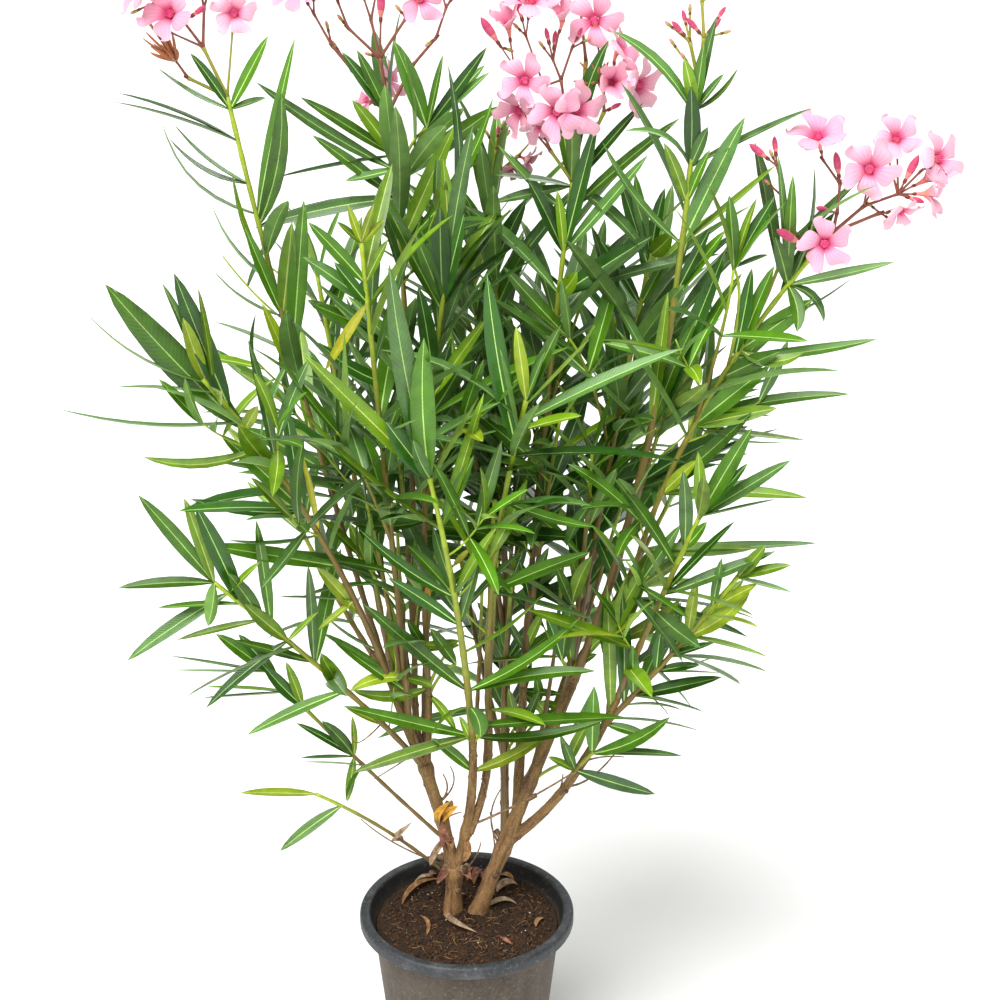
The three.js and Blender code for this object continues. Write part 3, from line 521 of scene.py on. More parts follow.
sightings["left_low_back"] = [
    (354, 757, (296, 723, 10, 20, deep), (300, 758, 10, 66, deep), (322, 721, 15, 10, mid, 0.05),
     (352, 716, 8, 20, fresh), (347, 802, 11, 15, fresh)),
    (262, 669, (170, 656, 14, 84, deep, 0.02), (170, 670, 14, 84, mid, 0.02), (216, 634, 16, 15, mid)),
    (276, 683, (238, 634, 15, 10, deep), (263, 652, 13, 20, mid, -0.03)),
    (304, 706, (262, 664, 16, 10, deep, 0.02), (286, 662, 12, 15, fresh)),
    (288, 691, (202, 698, 14, 82, deep, 0.02), (205, 687, 12, 70, fresh)),
]
sightings["left_sucker"] = [
    (316, 795, (240, 793, 14, 45, young, 0.04)),
    (341, 808, (280, 851, 14, 20, mid, 0.05)),
]
sightings["left_front"] = [
    (361, 245, (348, 205, 9, 15, young), (374, 204, 9, 15, young), (337, 222, 9, 40, fresh),
     (384, 220, 9, 30, young)),
    (365, 284, (308, 222, 15, 15, mid), (388, 240, 11, 20, fresh)),
    (367, 305, (303, 257, 16, 25, grey), (334, 262, 13, 15, deep), (325, 371, 11, 20, yellow, 0.03, -20)),
    (402, 678, (350, 691, 14, 20, young, 0.12), (433, 687, 12, 25, fresh, 0.06)),
    (407, 692, (331, 638, 13, 20, mid)),
]
sightings["middle_bloom"] = [
    (388, 117, (342, 52, 13, 15, deep), (357, 50, 13, 20, mid)),
    (427, 128, (393, 40, 19, 10, mid), (487, 47, 13, 20, deep), (490, 72, 12, 40, grey),
     (443, 55, 10, 40, mid)),
    (394, 168, (256, 82, 14, 25, grey, -0.01), (345, 181, 12, 40, grey)),
    (392, 155, (300, 97, 13, 20, mid), (352, 100, 15, 5, fresh), (278, 177, 14, 80, deep)),
    (397, 200, (255, 228, 17, 20, grey, 0.05), (312, 135, 14, 15, mid)),
    (402, 245, (455, 125, 19, 10, fresh), (493, 98, 14, 30, mid, -0.05)),
    (403, 282, (378, 205, 13, 45, grey)),
    (406, 345, (310, 303, 16, 15, mid), (318, 283, 13, 40, grey, -0.02)),
    (408, 388, (318, 342, 16, 20, deep, -0.06)),
]
sightings["middle"] = [
    (433, 687, (352, 690, 14, 15, fresh, -0.06)),
    (428, 650, (460, 641, 11, 20, fresh, 0.05), (407, 620, 12, 15, mid)),
    (430, 698, (456, 731, 11, 20, fresh, 0.06)),
    (458, 645, (418, 645, 10, 20, fresh)),
    (456, 664, (430, 628, 15, 10, mid)),
    (430, 384, (418, 286, 18, 10, deep)),
    (440, 580, (427, 580, 7, 20, yellow)),
    (453, 566, (470, 549, 7, 15, yellow)),
    (447, 272, (473, 125, 17, 15, grey), (448, 65, 11, 25, deep, -0.04)),
    (443, 302, (440, 205, 19, 0, deep), (464, 214, 16, 20, deep), (414, 232, 15, 10, mid)),
    (433, 400, (488, 318, 14, 20, fresh)),
    (424, 520, (353, 504, 15, 25, grey, 0.02), (350, 523, 14, 25, mid, -0.03)),
]
sightings["front"] = [
    (429, 479, (302, 353, 19, 20, fresh, 0.02), (386, 422, 22, 5, deep), (413, 440, 15, 20, grey, 0, 30),
     (424, 338, 25, 0, mid, 0.0, 32)),
    (430, 486, (389, 264, 24, 5, grey, 0.0, 46)),
    (441, 528, (290, 396, 14, 64, fresh, -0.02), (484, 393, 15, 35, fresh), (474, 455, 14, 20, mid)),
    (454, 598, (497, 527, 14, 35, fresh), (360, 530, 13, 20, deep, -0.03)),
    (459, 626, (388, 578, 14, 10, deep), (480, 556, 15, 25, grey)),
    (463, 652, (543, 594, 12, 70, fresh, -0.04)),
    (467, 690, (362, 603, 17, 15, mid, 0.02), (580, 618, 15, 30, mid, -0.03),
     (596, 671, 17, 25, mid, 0.06)),
    (472, 744, (459, 716, 10, 20, fresh), (487, 719, 9, 20, young)),
    (469, 706, (480, 738, 20, 20, grey, 0.1, 50), (432, 736, 12, 66, fresh, 0.15)),
    (476, 771, (556, 727, 15, 20, young, -0.03), (431, 738, 14, 20, mid)),
    (472, 736, (608, 718, 15, 35, mid, -0.03), (343, 706, 15, 20, mid), (352, 773, 15, 15, fresh, 0.05)),
]
sightings["front_right"] = [
    (527, 400, (516, 326, 13, 5, young), (561, 325, 14, 15, mid), (545, 352, 10, 40, grey)),
    (521, 424, (380, 350, 14, 56, grey, 0.12), (684, 348, 18, 40, grey, 0.05)),
    (517, 446, (487, 274, 22, 0, deep, 0.02)),
    (506, 502, (595, 527, 15, 40, mid, -0.03)),
    (492, 592, (590, 552, 17, 20, mid, 0.05), (592, 619, 13, 62, grey, 0.02)),
]
sightings["centre_bloom"] = [
    (571, 187, (495, 175, 14, 62, grey, 0.05), (492, 203, 14, 40, grey), (648, 257, 17, 35, grey, 0.08),
     (643, 103, 12, 30, deep)),
    (567, 214, (680, 118, 13, 25, mid), (498, 145, 12, 45, grey, -0.02)),
    (572, 183, (609, 40, 19, 15, deep, 0.1)),
    (526, 652, (544, 610, 12, 20, fresh), (506, 618, 10, 20, grey)),
    (533, 598, (549, 547, 13, 15, mid), (519, 560, 11, 20, deep)),
    (563, 252, (597, 121, 17, 15, deep), (648, 155, 15, 30, grey), (527, 178, 16, 20, deep),
     (557, 190, 11, 20, fresh)),
    (559, 298, (720, 254, 15, 40, grey, 0.05), (652, 236, 22, 10, deep), (577, 272, 18, 5, fresh, 0, 20)),
]
sightings["centre_back"] = [
    (540, 702, (536, 674, 12, 20, mid), (563, 708, 10, 15, fresh)),
    (545, 718, (534, 700, 14, 10, fresh, 0.1), (567, 704, 9, 20, fresh)),
    (506, 600, (528, 540, 15, 20, deep), (486, 552, 14, 20, mid)),
    (514, 668, (562, 626, 14, 20, mid), (488, 628, 13, 15, mid, 0.02)),
    (506, 712, (484, 664, 14, 15, mid), (532, 662, 14, 20, deep, -0.02)),
    (520, 736, (508, 688, 13, 15, fresh), (540, 690, 12, 20, mid)),
    (487, 222, (472, 146, 16, 15, fresh)),
    (505, 674, (487, 702, 12, 15, fresh, 0.05)),
    (520, 690, (556, 721, 12, 15, fresh, 0.04), (562, 694, 10, 20, mid)),
    (503, 640, (477, 602, 12, 15, mid)),
    (512, 660, (498, 622, 14, 20, mid), (536, 618, 14, 20, deep)),
    (495, 262, (526, 200, 18, 10, deep), (462, 190, 13, 20, mid)),
    (497, 305, (531, 238, 17, 10, mid)),
]
sightings["right_inner"] = [
    (573, 728, (594, 688, 13, 15, mid, -0.05)),
    (568, 764, (589, 722, 14, 20, fresh, 0.04), (560, 735, 10, 30, grey)),
    (562, 660, (572, 604, 20, 15, mid), (546, 616, 16, 20, deep)),
    (572, 604, (592, 556, 17, 15, fresh, 0.06), (556, 566, 13, 20, mid)),
    (588, 655, (606, 636, 10, 15, fresh, 0.1)),
    (572, 668, (563, 606, 14, 10, fresh), (597, 654, 10, 20, mid)),
    (583, 602, (569, 552, 14, 15, fresh)),
    (655, 255, (665, 188, 14, 15, deep, 0.06), (672, 234, 20, 5, fresh, 0, 50), (632, 190, 15, 20, grey)),
    (641, 306, (664, 262, 12, 20, mid), (600, 240, 13, 30, deep)),
    (640, 266, (620, 180, 17, 15, deep, 0.04)),
]
sightings["right_tall"] = [
    (697, 118, (613, 31, 14, 40, grey, 0.1), (717, 16, 12, 25, grey)),
    (696, 113, (738, 68, 10, 60, mid, -0.07), (724, 74, 10, 45, grey), (704, 44, 12, 10, mid),
     (684, 58, 13, 10, fresh)),
    (690, 165, (812, 108, 14, 60, grey, 0.04), (691, 86, 18, 10, deep), (708, 127, 13, 20, grey),
     (625, 131, 12, 60, grey, 0.2)),
    (686, 206, (664, 143, 13, 15, fresh), (710, 150, 12, 30, mid)),
    (672, 292, (726, 230, 15, 25, mid), (711, 226, 13, 20, deep, 0.02)),
    (681, 243, (745, 117, 22, 15, grey), (776, 165, 17, 66, fresh, 0.02), (603, 143, 13, 50, grey, -0.03)),
    (650, 430, (727, 246, 21, 10, deep), (668, 292, 14, 15, fresh), (697, 318, 15, 15, mid)),
]
sightings["right_bloom"] = [
    (603, 640, (644, 568, 22, 10, fresh), (642, 612, 13, 20, young, 0.06)),
    (611, 672, (604, 600, 21, 10, mid)),
    (788, 284, (894, 262, 15, 45, grey, 0.02), (775, 237, 15, 15, mid), (793, 175, 13, 20, mid),
     (778, 155, 11, 40, grey), (814, 167, 14, 80, deep, -0.06), (824, 322, 12, 40, grey, 0.2),
     (797, 332, 16, 20, mid, 0.1, 40)),
    (734, 268, (729, 195, 15, 15, mid), (757, 198, 10, 30, fresh), (775, 196, 14, 20, deep),
     (768, 255, 10, 60, grey, 0.04)),
    (752, 330, (852, 278, 12, 82, mid, -0.03)),
    (744, 351, (813, 299, 21, 10, mid), (803, 353, 16, 30, fresh, -0.14), (774, 266, 16, 15, mid)),
    (739, 360, (877, 339, 15, 40, mid, -0.01), (752, 268, 15, 15, deep)),
    (722, 378, (779, 352, 18, 10, mid)),
    (700, 418, (850, 394, 15, 35, mid, 0.05)),
    (693, 425, (805, 440, 13, 62, fresh, 0.02), (770, 366, 22, 5, mid), (785, 442, 12, 82, deep, -0.05),
     (777, 408, 18, 15, fresh)),
    (660, 495, (808, 498, 17, 35, fresh, 0.06), (697, 460, 14, 20, young), (752, 412, 18, 10, mid)),
    (640, 550, (756, 548, 18, 25, fresh, 0.02), (818, 543, 15, 50, grey, 0.02)),
    (625, 600, (748, 637, 15, 45, grey, 0.06), (756, 619, 14, 80, deep, 0.07)),
    (617, 640, (680, 600, 17, 10, young, -0.05), (652, 548, 22, 5, fresh)),
]
sightings["right_front"] = [
    (701, 515, (752, 428, 19, 5, mid), (791, 460, 16, 25, grey), (748, 463, 12, 25, deep),
     (777, 499, 14, 82, deep, 0.02), (698, 452, 14, 10, fresh)),
    (684, 549, (683, 470, 16, 10, grey), (707, 522, 12, 20, mid)),
    (663, 594, (776, 551, 16, 30, grey), (735, 521, 12, 40, deep)),
]
sightings["right_low"] = [
    (737, 577, (791, 565, 13, 35, fresh, 0.05), (791, 592, 13, 65, grey, 0.02), (766, 545, 14, 10, fresh)),
    (712, 607, (757, 584, 14, 15, young), (722, 558, 11, 20, grey)),
    (687, 635, (750, 592, 17, 10, young, -0.03), (697, 580, 13, 10, young),
     (768, 657, 13, 60, fresh, 0.04)),
    (668, 655, (768, 672, 14, 72, mid, 0.07), (714, 643, 11, 40, deep), (683, 609, 10, 40, deep)),
    (655, 671, (700, 665, 12, 30, deep), (714, 657, 12, 82, deep, -0.02), (661, 630, 12, 20, deep),
     (721, 673, 12, 84, deep)),
    (632, 694, (722, 677, 18, 35, deep), (704, 712, 14, 82, deep, 0.05), (633, 645, 15, 10, mid),
     (670, 700, 14, 83, deep, 0.02)),
    (622, 704, (682, 710, 14, 84, deep, 0.08), (622, 592, 17, 5, deep)),
    (604, 722, (650, 737, 13, 30, mid)),
    (610, 717, (700, 731, 14, 83, deep, 0.06), (607, 585, 16, 10, fresh)),
]
sightings["right_sucker"] = [
    (591, 752, (670, 717, 17, 20, mid, -0.04), (682, 756, 13, 50, grey, 0.05), (594, 686, 17, 5, mid)),
    (575, 770, (655, 794, 16, 15, deep, 0.02), (563, 740, 11, 20, mid), (548, 757, 10, 30, fresh)),
]

# Openings in the crown that show the sky: across, down and radius in the photo's frame
openings = [
    (726, 3, 8), (338, 642, 8), (374, 612, 5), (598, 690, 10), (196, 249, 27), (181, 438, 16),
    (163, 486, 16), (336, 106, 11), (297, 137, 13), (316, 187, 15), (255, 132, 10), (233, 526, 12),
    (163, 558, 13), (290, 581, 13), (313, 684, 14), (282, 749, 18), (233, 345, 10), (271, 373, 10),
    (244, 392, 9), (273, 530, 9), (216, 293, 9), (294, 676, 9), (320, 297, 8), (318, 332, 7),
    (342, 241, 7), (462, 38, 20), (656, 116, 15), (799, 160, 14), (806, 216, 11), (653, 179, 9),
    (749, 285, 9), (763, 460, 10), (714, 528, 10), (666, 519, 12), (791, 387, 8), (763, 428, 7),
    (693, 563, 8), (640, 290, 8), (719, 341, 7), (718, 366, 7), (592, 419, 7), (760, 740, 45),
    (538, 560, 6), (565, 580, 8), (457, 167, 7),
]

# Thin bare stems between the boughs: what carries them, then foot, knee and tip in the photo's frame,
# how far they lean forward in mm, and the radii at foot and tip
whips = [
    ("trunk_right", (512, 838), (503, 720), (514, 560), -20, 3.3, 2.2),
    ("bough_front_right", (484, 788), (489, 690), (497, 560), 6, 3.0, 2.2),
    ("trunk_right", (520, 822), (521, 700), (533, 585), -35, 3.0, 2.1),
    ("bough_left", (432, 778), (424, 690), (437, 545), -25, 3.0, 2.1),
    ("bough_left", (438, 802), (411, 690), (397, 520), -18, 3.0, 2.1),
    ("trunk_right", (531, 795), (549, 690), (563, 560), -30, 3.0, 2.1),
    ("trunk_right", (553, 725), (586, 620), (623, 500), -34, 2.8, 2.0),
    ("bough_front", (473, 770), (478, 690), (482, 590), -22, 2.6, 1.8),
    ("bough_left", (424, 765), (392, 660), (372, 560), 8, 2.8, 2.0),
]

limbRoutes = {row[0]: Route(*row[2:5]) for row in limbs}
stems = {name: Route(foot, knee, tip) for name, foot, knee, tip, _ in shootRows}
shoots = {row[0]: row[4] for row in shootRows}
routes = {**stems, **limbRoutes}
print("routes: %d limbs, %d shoots" % (len(limbRoutes), len(stems)))

# Camera and light, as the photo was taken: a little above the crown's middle, looking down
view = {
    "lens": 68.04, "sensor": 36, "place": (0.0045, -1.8, 1.381), "down": 20.9, "right": 1.03,
    "world": 0.36, "floor": ("#f6f6f4", "#fbfbfa"), "floorSize": 60, "frame": 1000,
    "searchSteps": 121, "kneeForward": 0.7,
    "sun": 4.5, "sunFrom": (-0.5, -0.7, 1.4), "sunSoftness": 45,
    "lamps": [  # name, place, aimed at, size, watts
        ("fill", (2.2, -2.4, 1.6), (0, 0, 0.7), 1.6, 14),
        ("rim", (0.9, 2.4, 2.6), (0, 0, 0.8), 1.4, 24),
    ],
}


# the camera's eye in mm and its axes: right, up and forward
def cameraAxes():
    down, right = radians(view["down"]), radians(view["right"])
    level = place(math.sin(right), math.cos(right), 0)
    across = place(math.cos(right), -math.sin(right), 0)
    up = level * math.sin(down) + place(0, 0, math.cos(down))
    return place(*view["place"]) / mm, across, up, np.cross(up, across)


eye, cameraRight, cameraUp, cameraForward = cameraAxes()
focal = view["lens"] / view["sensor"] * view["frame"]


# where a point lies in the photo, as (across, down)
def toPhoto(points):
    away = points - eye
    depth = away @ cameraForward
    half = view["frame"] / 2
    across, down = focal * (away @ cameraRight) / depth, focal * (away @ cameraUp) / depth
    return np.stack([half + across, half - down], -1)


# the point at a place in the photo and a distance y from the front
def fromPhoto(across, down, y):
    half = view["frame"] / 2
    ray = cameraForward + cameraRight * (across - half) / focal + cameraUp * (half - down) / focal
    return eye + ray * (y - eye[1]) / ray[1]


# where along a route the photo shows it nearest to a place in its frame, and how many pixels away
def nearestShare(route, spot):
    t = np.linspace(0, 1, view["searchSteps"])
    away = norm(toPhoto(route.at(t)) - place(*spot), axis=1)
    nearest = int(np.argmin(away))
    return t[nearest], away[nearest]


def nearestOn(name, spot):
    return routes[name].at(nearestShare(routes[name], spot)[0])


# a stem or twig placed by the photo: its foot is on what carries it, its knee and tip lean forward
def sightedRoute(name, foot, knee, tip, forward):
    start = nearestOn(name, foot)
    knee = fromPhoto(*knee, start[1] - forward * view["kneeForward"])
    return Route(start, knee, fromPhoto(*tip, start[1] - forward))


def setCamera():
    data = bpy.data.cameras.new("camera")
    data.lens = view["lens"]
    data.sensor_width = view["sensor"]
    data.clip_start = 0.05
    camera = addThing("camera", data)
    camera.location = view["place"]
    camera.rotation_euler = (radians(90 - view["down"]), 0, radians(-view["right"]))
    scene.camera = camera


def setLights():
    sun = bpy.data.lights.new("sun", "SUN")
    sun.energy = view["sun"]
    sun.angle = radians(view["sunSoftness"])
    addThing("sun", sun).rotation_euler = Vector(view["sunFrom"]).to_track_quat("Z", "Y").to_euler()
    for name, spot, aim, size, watts in view["lamps"]:
        data = bpy.data.lights.new(name, "AREA")
        data.shape = "DISK"
        data.size = size
        data.energy = watts
        lamp = addThing(name, data)
        lamp.location = spot
        lamp.rotation_euler = (Vector(aim) - Vector(spot)).to_track_quat("-Z", "Y").to_euler()
    world = bpy.data.worlds.new("studio")
    world.use_nodes = True
    world.node_tree.nodes["Background"].inputs["Color"].default_value = (1, 1, 1, 1)
    world.node_tree.nodes["Background"].inputs["Strength"].default_value = view["world"]
    scene.world = world
    scene.view_settings.view_transform = "Standard"


def layFloor():
    half = view["floorSize"] / 2
    mesh = bpy.data.meshes.new("floor")
    corners = [(-half, -half, 0), (half, -half, 0), (half, half, 0), (-half, half, 0)]
    mesh.from_pydata(corners, [], [(0, 1, 2, 3)])
    material, spot = startMaterial("paleFloor")
    shade = spot.noise(3.0).mix(*view["floor"])
    mesh.materials.append(finishMaterial(material, Base_Color=shade, Roughness=0.9))
    floor = addThing("floor", mesh)


setCamera()
setLights()
layFloor()
print("stage: camera, lights and floor")

# Leaves: sizes and places in mm, angles in degrees, turnings from whorl to whorl, and how many are kept
leaf = {
    "length": 146, "width": 21.5, "spacing": 28, "inWhorl": 3, "turn": 74, "firstWhorl": 0.15,
    "twigLeafy": 0.75, "youngShare": 0.62, "youngWhorls": 4, "tipAngle": 27, "footAngle": 80,
    "openingWhorls": 8, "openingPower": 0.8, "turnSpread": 44, "angleSpread": 32, "smallest": 0.86,
    "sizeSpread": 0.28, "facesUp": 0.3, "roll": 60, "swings": (0, 28, -28, 14, -14), "mostWhorls": 40,
    "neck": 0.16, "gap": 4.2, "between": 0.45, "shed": 740, "shedFall": 170, "keptLow": 0.12,
    "backShown": 0.3, "turnedAway": -0.15, "spreads": (0.05, 50, 16), "archSpread": 0.05,
    "toneSpread": 2.2, "youngFresher": 1.3, "openDuller": 0.5, "petiole": 1.5, "thick": 1.3, "rib": 0.78,
    "ribTip": 0.2, "fold": 20, "arch": 0.03, "veins": 230, "veinLean": 16, "darker": 0.42,
    "lighter": 1.62, "dull": 0.25, "front": 40, "stemBelow": 0.1, "stemTwig": (3.2, 2.0, 1.0),
    "sideTwig": (2.2, 1.4, 0.5), "whipWoody": 1.6,
}
# how many leaves are remembered, the places along each, how near others are tried, and gaps and steps
room = {
    "leaves": 6000, "along": 8, "leafNear": 150, "woodNear": 110, "woodGap": 1.0, "woodStep": 7,
    "woodRadius": 2.5,
}
stations = np.array([0, 0.045, 0.16, 0.31, 0.46, 0.61, 0.76, 0.9, 1.0])


# rings of eight points along leaves: centre(t) = base + t L along + 4t(1-t) L (arch up + sway side),
# with half width as t^0.68 (1-t)^0.74, the blades folded up from the rib and rolled under at the edge
def leafSurfaces(rows):
    base, along, normal = (np.array([r[k] for r in rows]) for k in ("base", "along", "normal"))
    length, width, arch, sway, twist, fold = (
        np.array([r[k] for r in rows])[:, None] for k in ("length", "width", "arch", "sway", "twist", "fold")
    )
    t = stations[None]
    side = unit(np.cross(normal, along))
    bow = 4 * t * (1 - t) * length
    slope = 4 * (1 - 2 * t)
    centre = base[:, None] + along[:, None] * (t * length)[..., None]
    centre = centre + normal[:, None] * (bow * arch)[..., None] + side[:, None] * (bow * sway)[..., None]
    forward = along[:, None] + normal[:, None] * (slope * arch)[..., None]
    forward = unit(forward + side[:, None] * (slope * sway)[..., None])
    turn = (twist * (t - 0.2))[..., None]
    across = side[:, None] * np.cos(turn) + normal[:, None] * np.sin(turn)
    across = unit(across - forward * (across * forward).sum(-1, keepdims=True))
    up = np.cross(forward, across)
    shape = t ** 0.68 * (1 - t) ** 0.74
    half = np.maximum(width / 2 * shape / shape.max(), leaf["petiole"] / 2 * (1 - t) + 0.12)
    rib = (leaf["rib"] + (leaf["ribTip"] - leaf["rib"]) * t) * (width / leaf["width"]) ** 0.5
    rib = np.minimum(rib, 0.7 * half)
    thick = (leaf["thick"] * (1 - t) + 0.25) * (length / leaf["length"]) ** 0.5
    margin = half * np.sin(fold) * 0.8 - 0.04 * half
    middle = half * np.sin(fold) * 0.62
    wide = half * np.cos(fold)
    none = np.zeros_like(half)
    ring = [
        (-wide, margin), (-wide * 0.56, middle), (-rib, none), (rib, none),
        (wide * 0.56, middle), (wide, margin), (rib * 0.8, -thick), (-rib * 0.8, -thick),
    ]
    points = np.stack([centre + across * a[..., None] + up * b[..., None] for a, b in ring], 2)
    blade = np.zeros(points.shape)
    blade[..., 0] = stations[None, :, None]
    blade[..., 1] = np.array([-1, -0.56, 0, 0, 0.56, 1, 0, 0])
    blade[..., 2] = chance(np.arange(len(rows)), 3, 7)[:, None, None]
    return points, blade


def leafPiece(name, rows, materials, nodes):
    points, blade = leafSurfaces(rows)
    n, rings, corners = points.shape[:3]
    quads, foot, tip = ringFaces(rings, corners, reverse=True)
    start = (np.arange(n) * rings * corners)[:, None, None]
    upper = np.array([tones.index(r["tone"]) for r in rows])
    # which finish each strip of the ring takes: blades, rib, under side and the rib below it
    pale = np.isin(upper, [tones.index(tone) for tone in (fresh, young, yellow)])
    isDry = upper == tones.index(dry)
    under = np.where(isDry, upper, len(tones) + pale)
    rib = np.where(isDry, upper, len(tones) + 2 + pale)
    strips = np.stack([upper, upper, rib, upper, upper, under, rib, under], 1)
    finish = np.repeat(strips[:, None], rings - 1, 1).reshape(-1)
    ends = [np.tile(foot, (n, 1, 1)) + start, np.tile(tip, (n, 1, 1)) + start]
    faces = [(quads[None] + start).reshape(-1, 4), *(e.reshape(-1, corners) for e in ends)]
    bundle = Bundle()
    bundle.add(points, faces, [finish, under, upper], blade=blade)

    # the sharp edges: those that run from ring to ring along a margin
    def isMargin(edges):
        corner = edges % corners
        return (corner[:, 0] == corner[:, 1]) & np.isin(corner[:, 0], (0, 5))

    return bundle.piece(name, materials, "foliage", nodes, isMargin)


# the spots by which a leaf keeps clear of others: three across at places along the blade
def leafSpots(base, along, normal, length, width):
    t = np.linspace(leaf["neck"], 0.97, room["along"])
    line = base + along * (t * length)[:, None]
    half = unit(np.cross(normal, along)) * (width / 2 * np.sin(np.pi * t) ** 0.8)[:, None] * 0.8
    return np.concatenate([line, line + half, line - half])


# remembers the leaves and stems that stand already
class Room:
    def __init__(self):
        self.spots = np.zeros((room["leaves"], room["along"] * 3, 3))
        self.middles = np.zeros((room["leaves"], 3))
        self.count = 0
        self.wood = np.zeros((0, 4))

    def addWood(self, route, radius):
        t = np.linspace(0, 1, max(3, int(route.length / room["woodStep"])))
        self.wood = np.concatenate([self.wood, np.column_stack([route.at(t), np.full(len(t), radius)])])

    def isClear(self, spots, gap):
        middle = spots[:room["along"]].mean(0)
        near = norm(self.middles[:self.count] - middle, axis=1) < room["leafNear"]
        others = self.spots[:self.count][near].reshape(-1, 3)
        if len(others) and ((spots[:, None] - others[None]) ** 2).sum(-1).min() < gap * gap:
            return False
        wood = self.wood[norm(self.wood[:, :3] - middle, axis=1) < room["woodNear"]]
        if len(wood) == 0:
            return True
        away = np.sqrt(((spots[:, None] - wood[None, :, :3]) ** 2).sum(-1)) - wood[None, :, 3]
        return away.min() > room["woodGap"]

    def add(self, spots):
        self.spots[self.count] = spots
        self.middles[self.count] = spots[:room["along"]].mean(0)
        self.count += 1


# sighted whorls: how many pixels off its stem a foot may stand before it gets a twig (snap), how much
# nearer a bough has to be to carry it, how far below itself its twig branches off, that twig's lean, bend,
# radii and age, how far blades come forward, and their bow less what they droop
sight = {
    "snap": 9, "boughNearer": 3, "branching": 1.5, "twigForward": 12, "twigBend": 0.14, "twigFoot": 2.0,
    "twigTip": 1.3, "twigWoody": 0.2, "forward": 18, "bow": 0.03, "droop": 0.025, "spreads": (0.03, 18, 10),
}
standing = Room()
leaves = {name: [] for name in shoots}
twigs = []  # route, foot radius, tip radius, how woody
skyPlaces, skyRadii = np.split(np.array(openings, float), [2], axis=1)


# whether a leaf would close one of the openings that the photo shows
def hidesSky(spots):
    away = toPhoto(spots)[:, None] - skyPlaces[None]
    return bool(((away ** 2).sum(-1) < skyRadii[:, 0] ** 2).any())


# one leaf at a place on a stem, its upper face up the stem, unless one of its spots is too near another
# leaf or a stem, or closes an opening
def growLeaf(mass, stem, at, along, length, width, roll, seed, tone, arch=None, force=False):
    base = stem.at(at)
    normal = stem.along(at) * (1 - leaf["facesUp"]) + place(0, 0, leaf["facesUp"])
    normal = unit(normal - along * (normal @ along))
    normal = normal * math.cos(roll) + np.cross(along, normal) * math.sin(roll)
    spots = leafSpots(base, along, normal, length, width)
    # leaves at the front mostly show the photo their upper faces
    turnedAway = normal @ unit(eye - base) < leaf["turnedAway"] and base[1] < leaf["front"]
    if not force and turnedAway and chance(seed, 8, 3) > leaf["backShown"]:
        return False
    if not force and (hidesSky(spots) or not standing.isClear(spots, leaf["gap"] * min(1, length / 100))):
        return False
    draw = [chance(seed, 5, k) - 0.5 for k in range(4)]
    arch = leaf["arch"] + leaf["archSpread"] * draw[0] if arch is None else arch
    turns = [spread * own for spread, own in zip(leaf["spreads"], draw[1:])]
    keepLeaf(mass, base, along, normal, length, width, arch, *turns, tone)
    return True


def keepLeaf(mass, base, along, normal, length, width, arch, sway, twist, fold, tone):
    standing.add(leafSpots(base, along, normal, length, width))
    leaves[mass].append({
        "base": base, "along": along, "normal": normal, "length": length, "width": width, "arch": arch,
        "sway": sway, "twist": radians(twist), "fold": radians(leaf["fold"] + fold), "tone": tone,
    })


# a sighted whorl: its foot is the nearest place on the stem or on the bough below it, or the end of
# a twig from a little lower
def growSighting(mass, foot, blades, seed):
    stem = stems[mass]
    bough = min(limbRoutes.values(), key=lambda route: norm(route.tip - stem.foot))
    share, away = nearestShare(stem, foot)
    boughShare, boughAway = nearestShare(bough, foot)
    if boughAway + sight["boughNearer"] < away:
        stem, share, away = bough, boughShare, boughAway
    base = stem.at(share)
    if away > sight["snap"]:
        lower = max(0.0, share - sight["branching"] * away / stem.length)
        start, end = stem.at(lower), fromPhoto(*foot, base[1] - sight["twigForward"])
        bend = (start + end) / 2 + stem.along(lower) * sight["twigBend"] * norm(end - start)
        twigs.append((Route(start, bend, end), sight["twigFoot"], sight["twigTip"], sight["twigWoody"]))
        standing.addWood(twigs[-1][0], sight["twigFoot"])
        base = end
    for i, (across, down, width, turn, tone, *more) in enumerate(blades):
        bow = (more[0] if more else sight["bow"]) - sight["droop"]
        forward = more[1] if len(more) > 1 else sight["forward"]
        run = fromPhoto(across, down, base[1] - forward) - base
        length = float(norm(run))
        along = run / length
        facing = unit(unit(eye - base) - along * (unit(eye - base) @ along))
        upward = np.cross(along, facing)
        upward = upward if upward[2] >= 0 else -upward
        normal = facing * math.cos(radians(turn)) + upward * math.sin(radians(turn))
        draw = [spread * (chance(seed, i, k) - 0.5) for k, spread in enumerate(sight["spreads"])]
        arch = bow * (normal @ upward)
        sway = bow * (np.cross(normal, along) @ upward) + draw[0]
        keepLeaf(mass, base, along, normal, length, width, arch, sway, *draw[1:], tone)


def toneOf(freshness, seed):
    number = freshness + leaf["toneSpread"] * (chance(seed, 9, 1) - 0.5)
    return tones[int(np.clip(round(number), tones.index(deep), tones.index(young)))]


def growReach(mass, shoot, number):
    for i, (at, x, y, z, *more) in enumerate(shoot.get("reach", [])):
        run = place(x, y, z) - stems[mass].at(at)
        length = norm(run)
        width = leaf["width"] * (0.45 + 0.55 * length / leaf["length"])
        seed = number * 50 + i + 0.5
        tone = more[1] if len(more) > 1 else toneOf(shoot["fresh"], seed)
        roll = radians(more[0]) if more else 0
        growLeaf(mass, stems[mass], at, run / length, length, width, roll, seed, tone, force=True)


# how much of a stem or side twig carries leaves, in mm
def leafyRun(mass, branch, stem):
    return (shoots[mass]["leafy"] if branch == 0 else leaf["twigLeafy"]) * stem.length


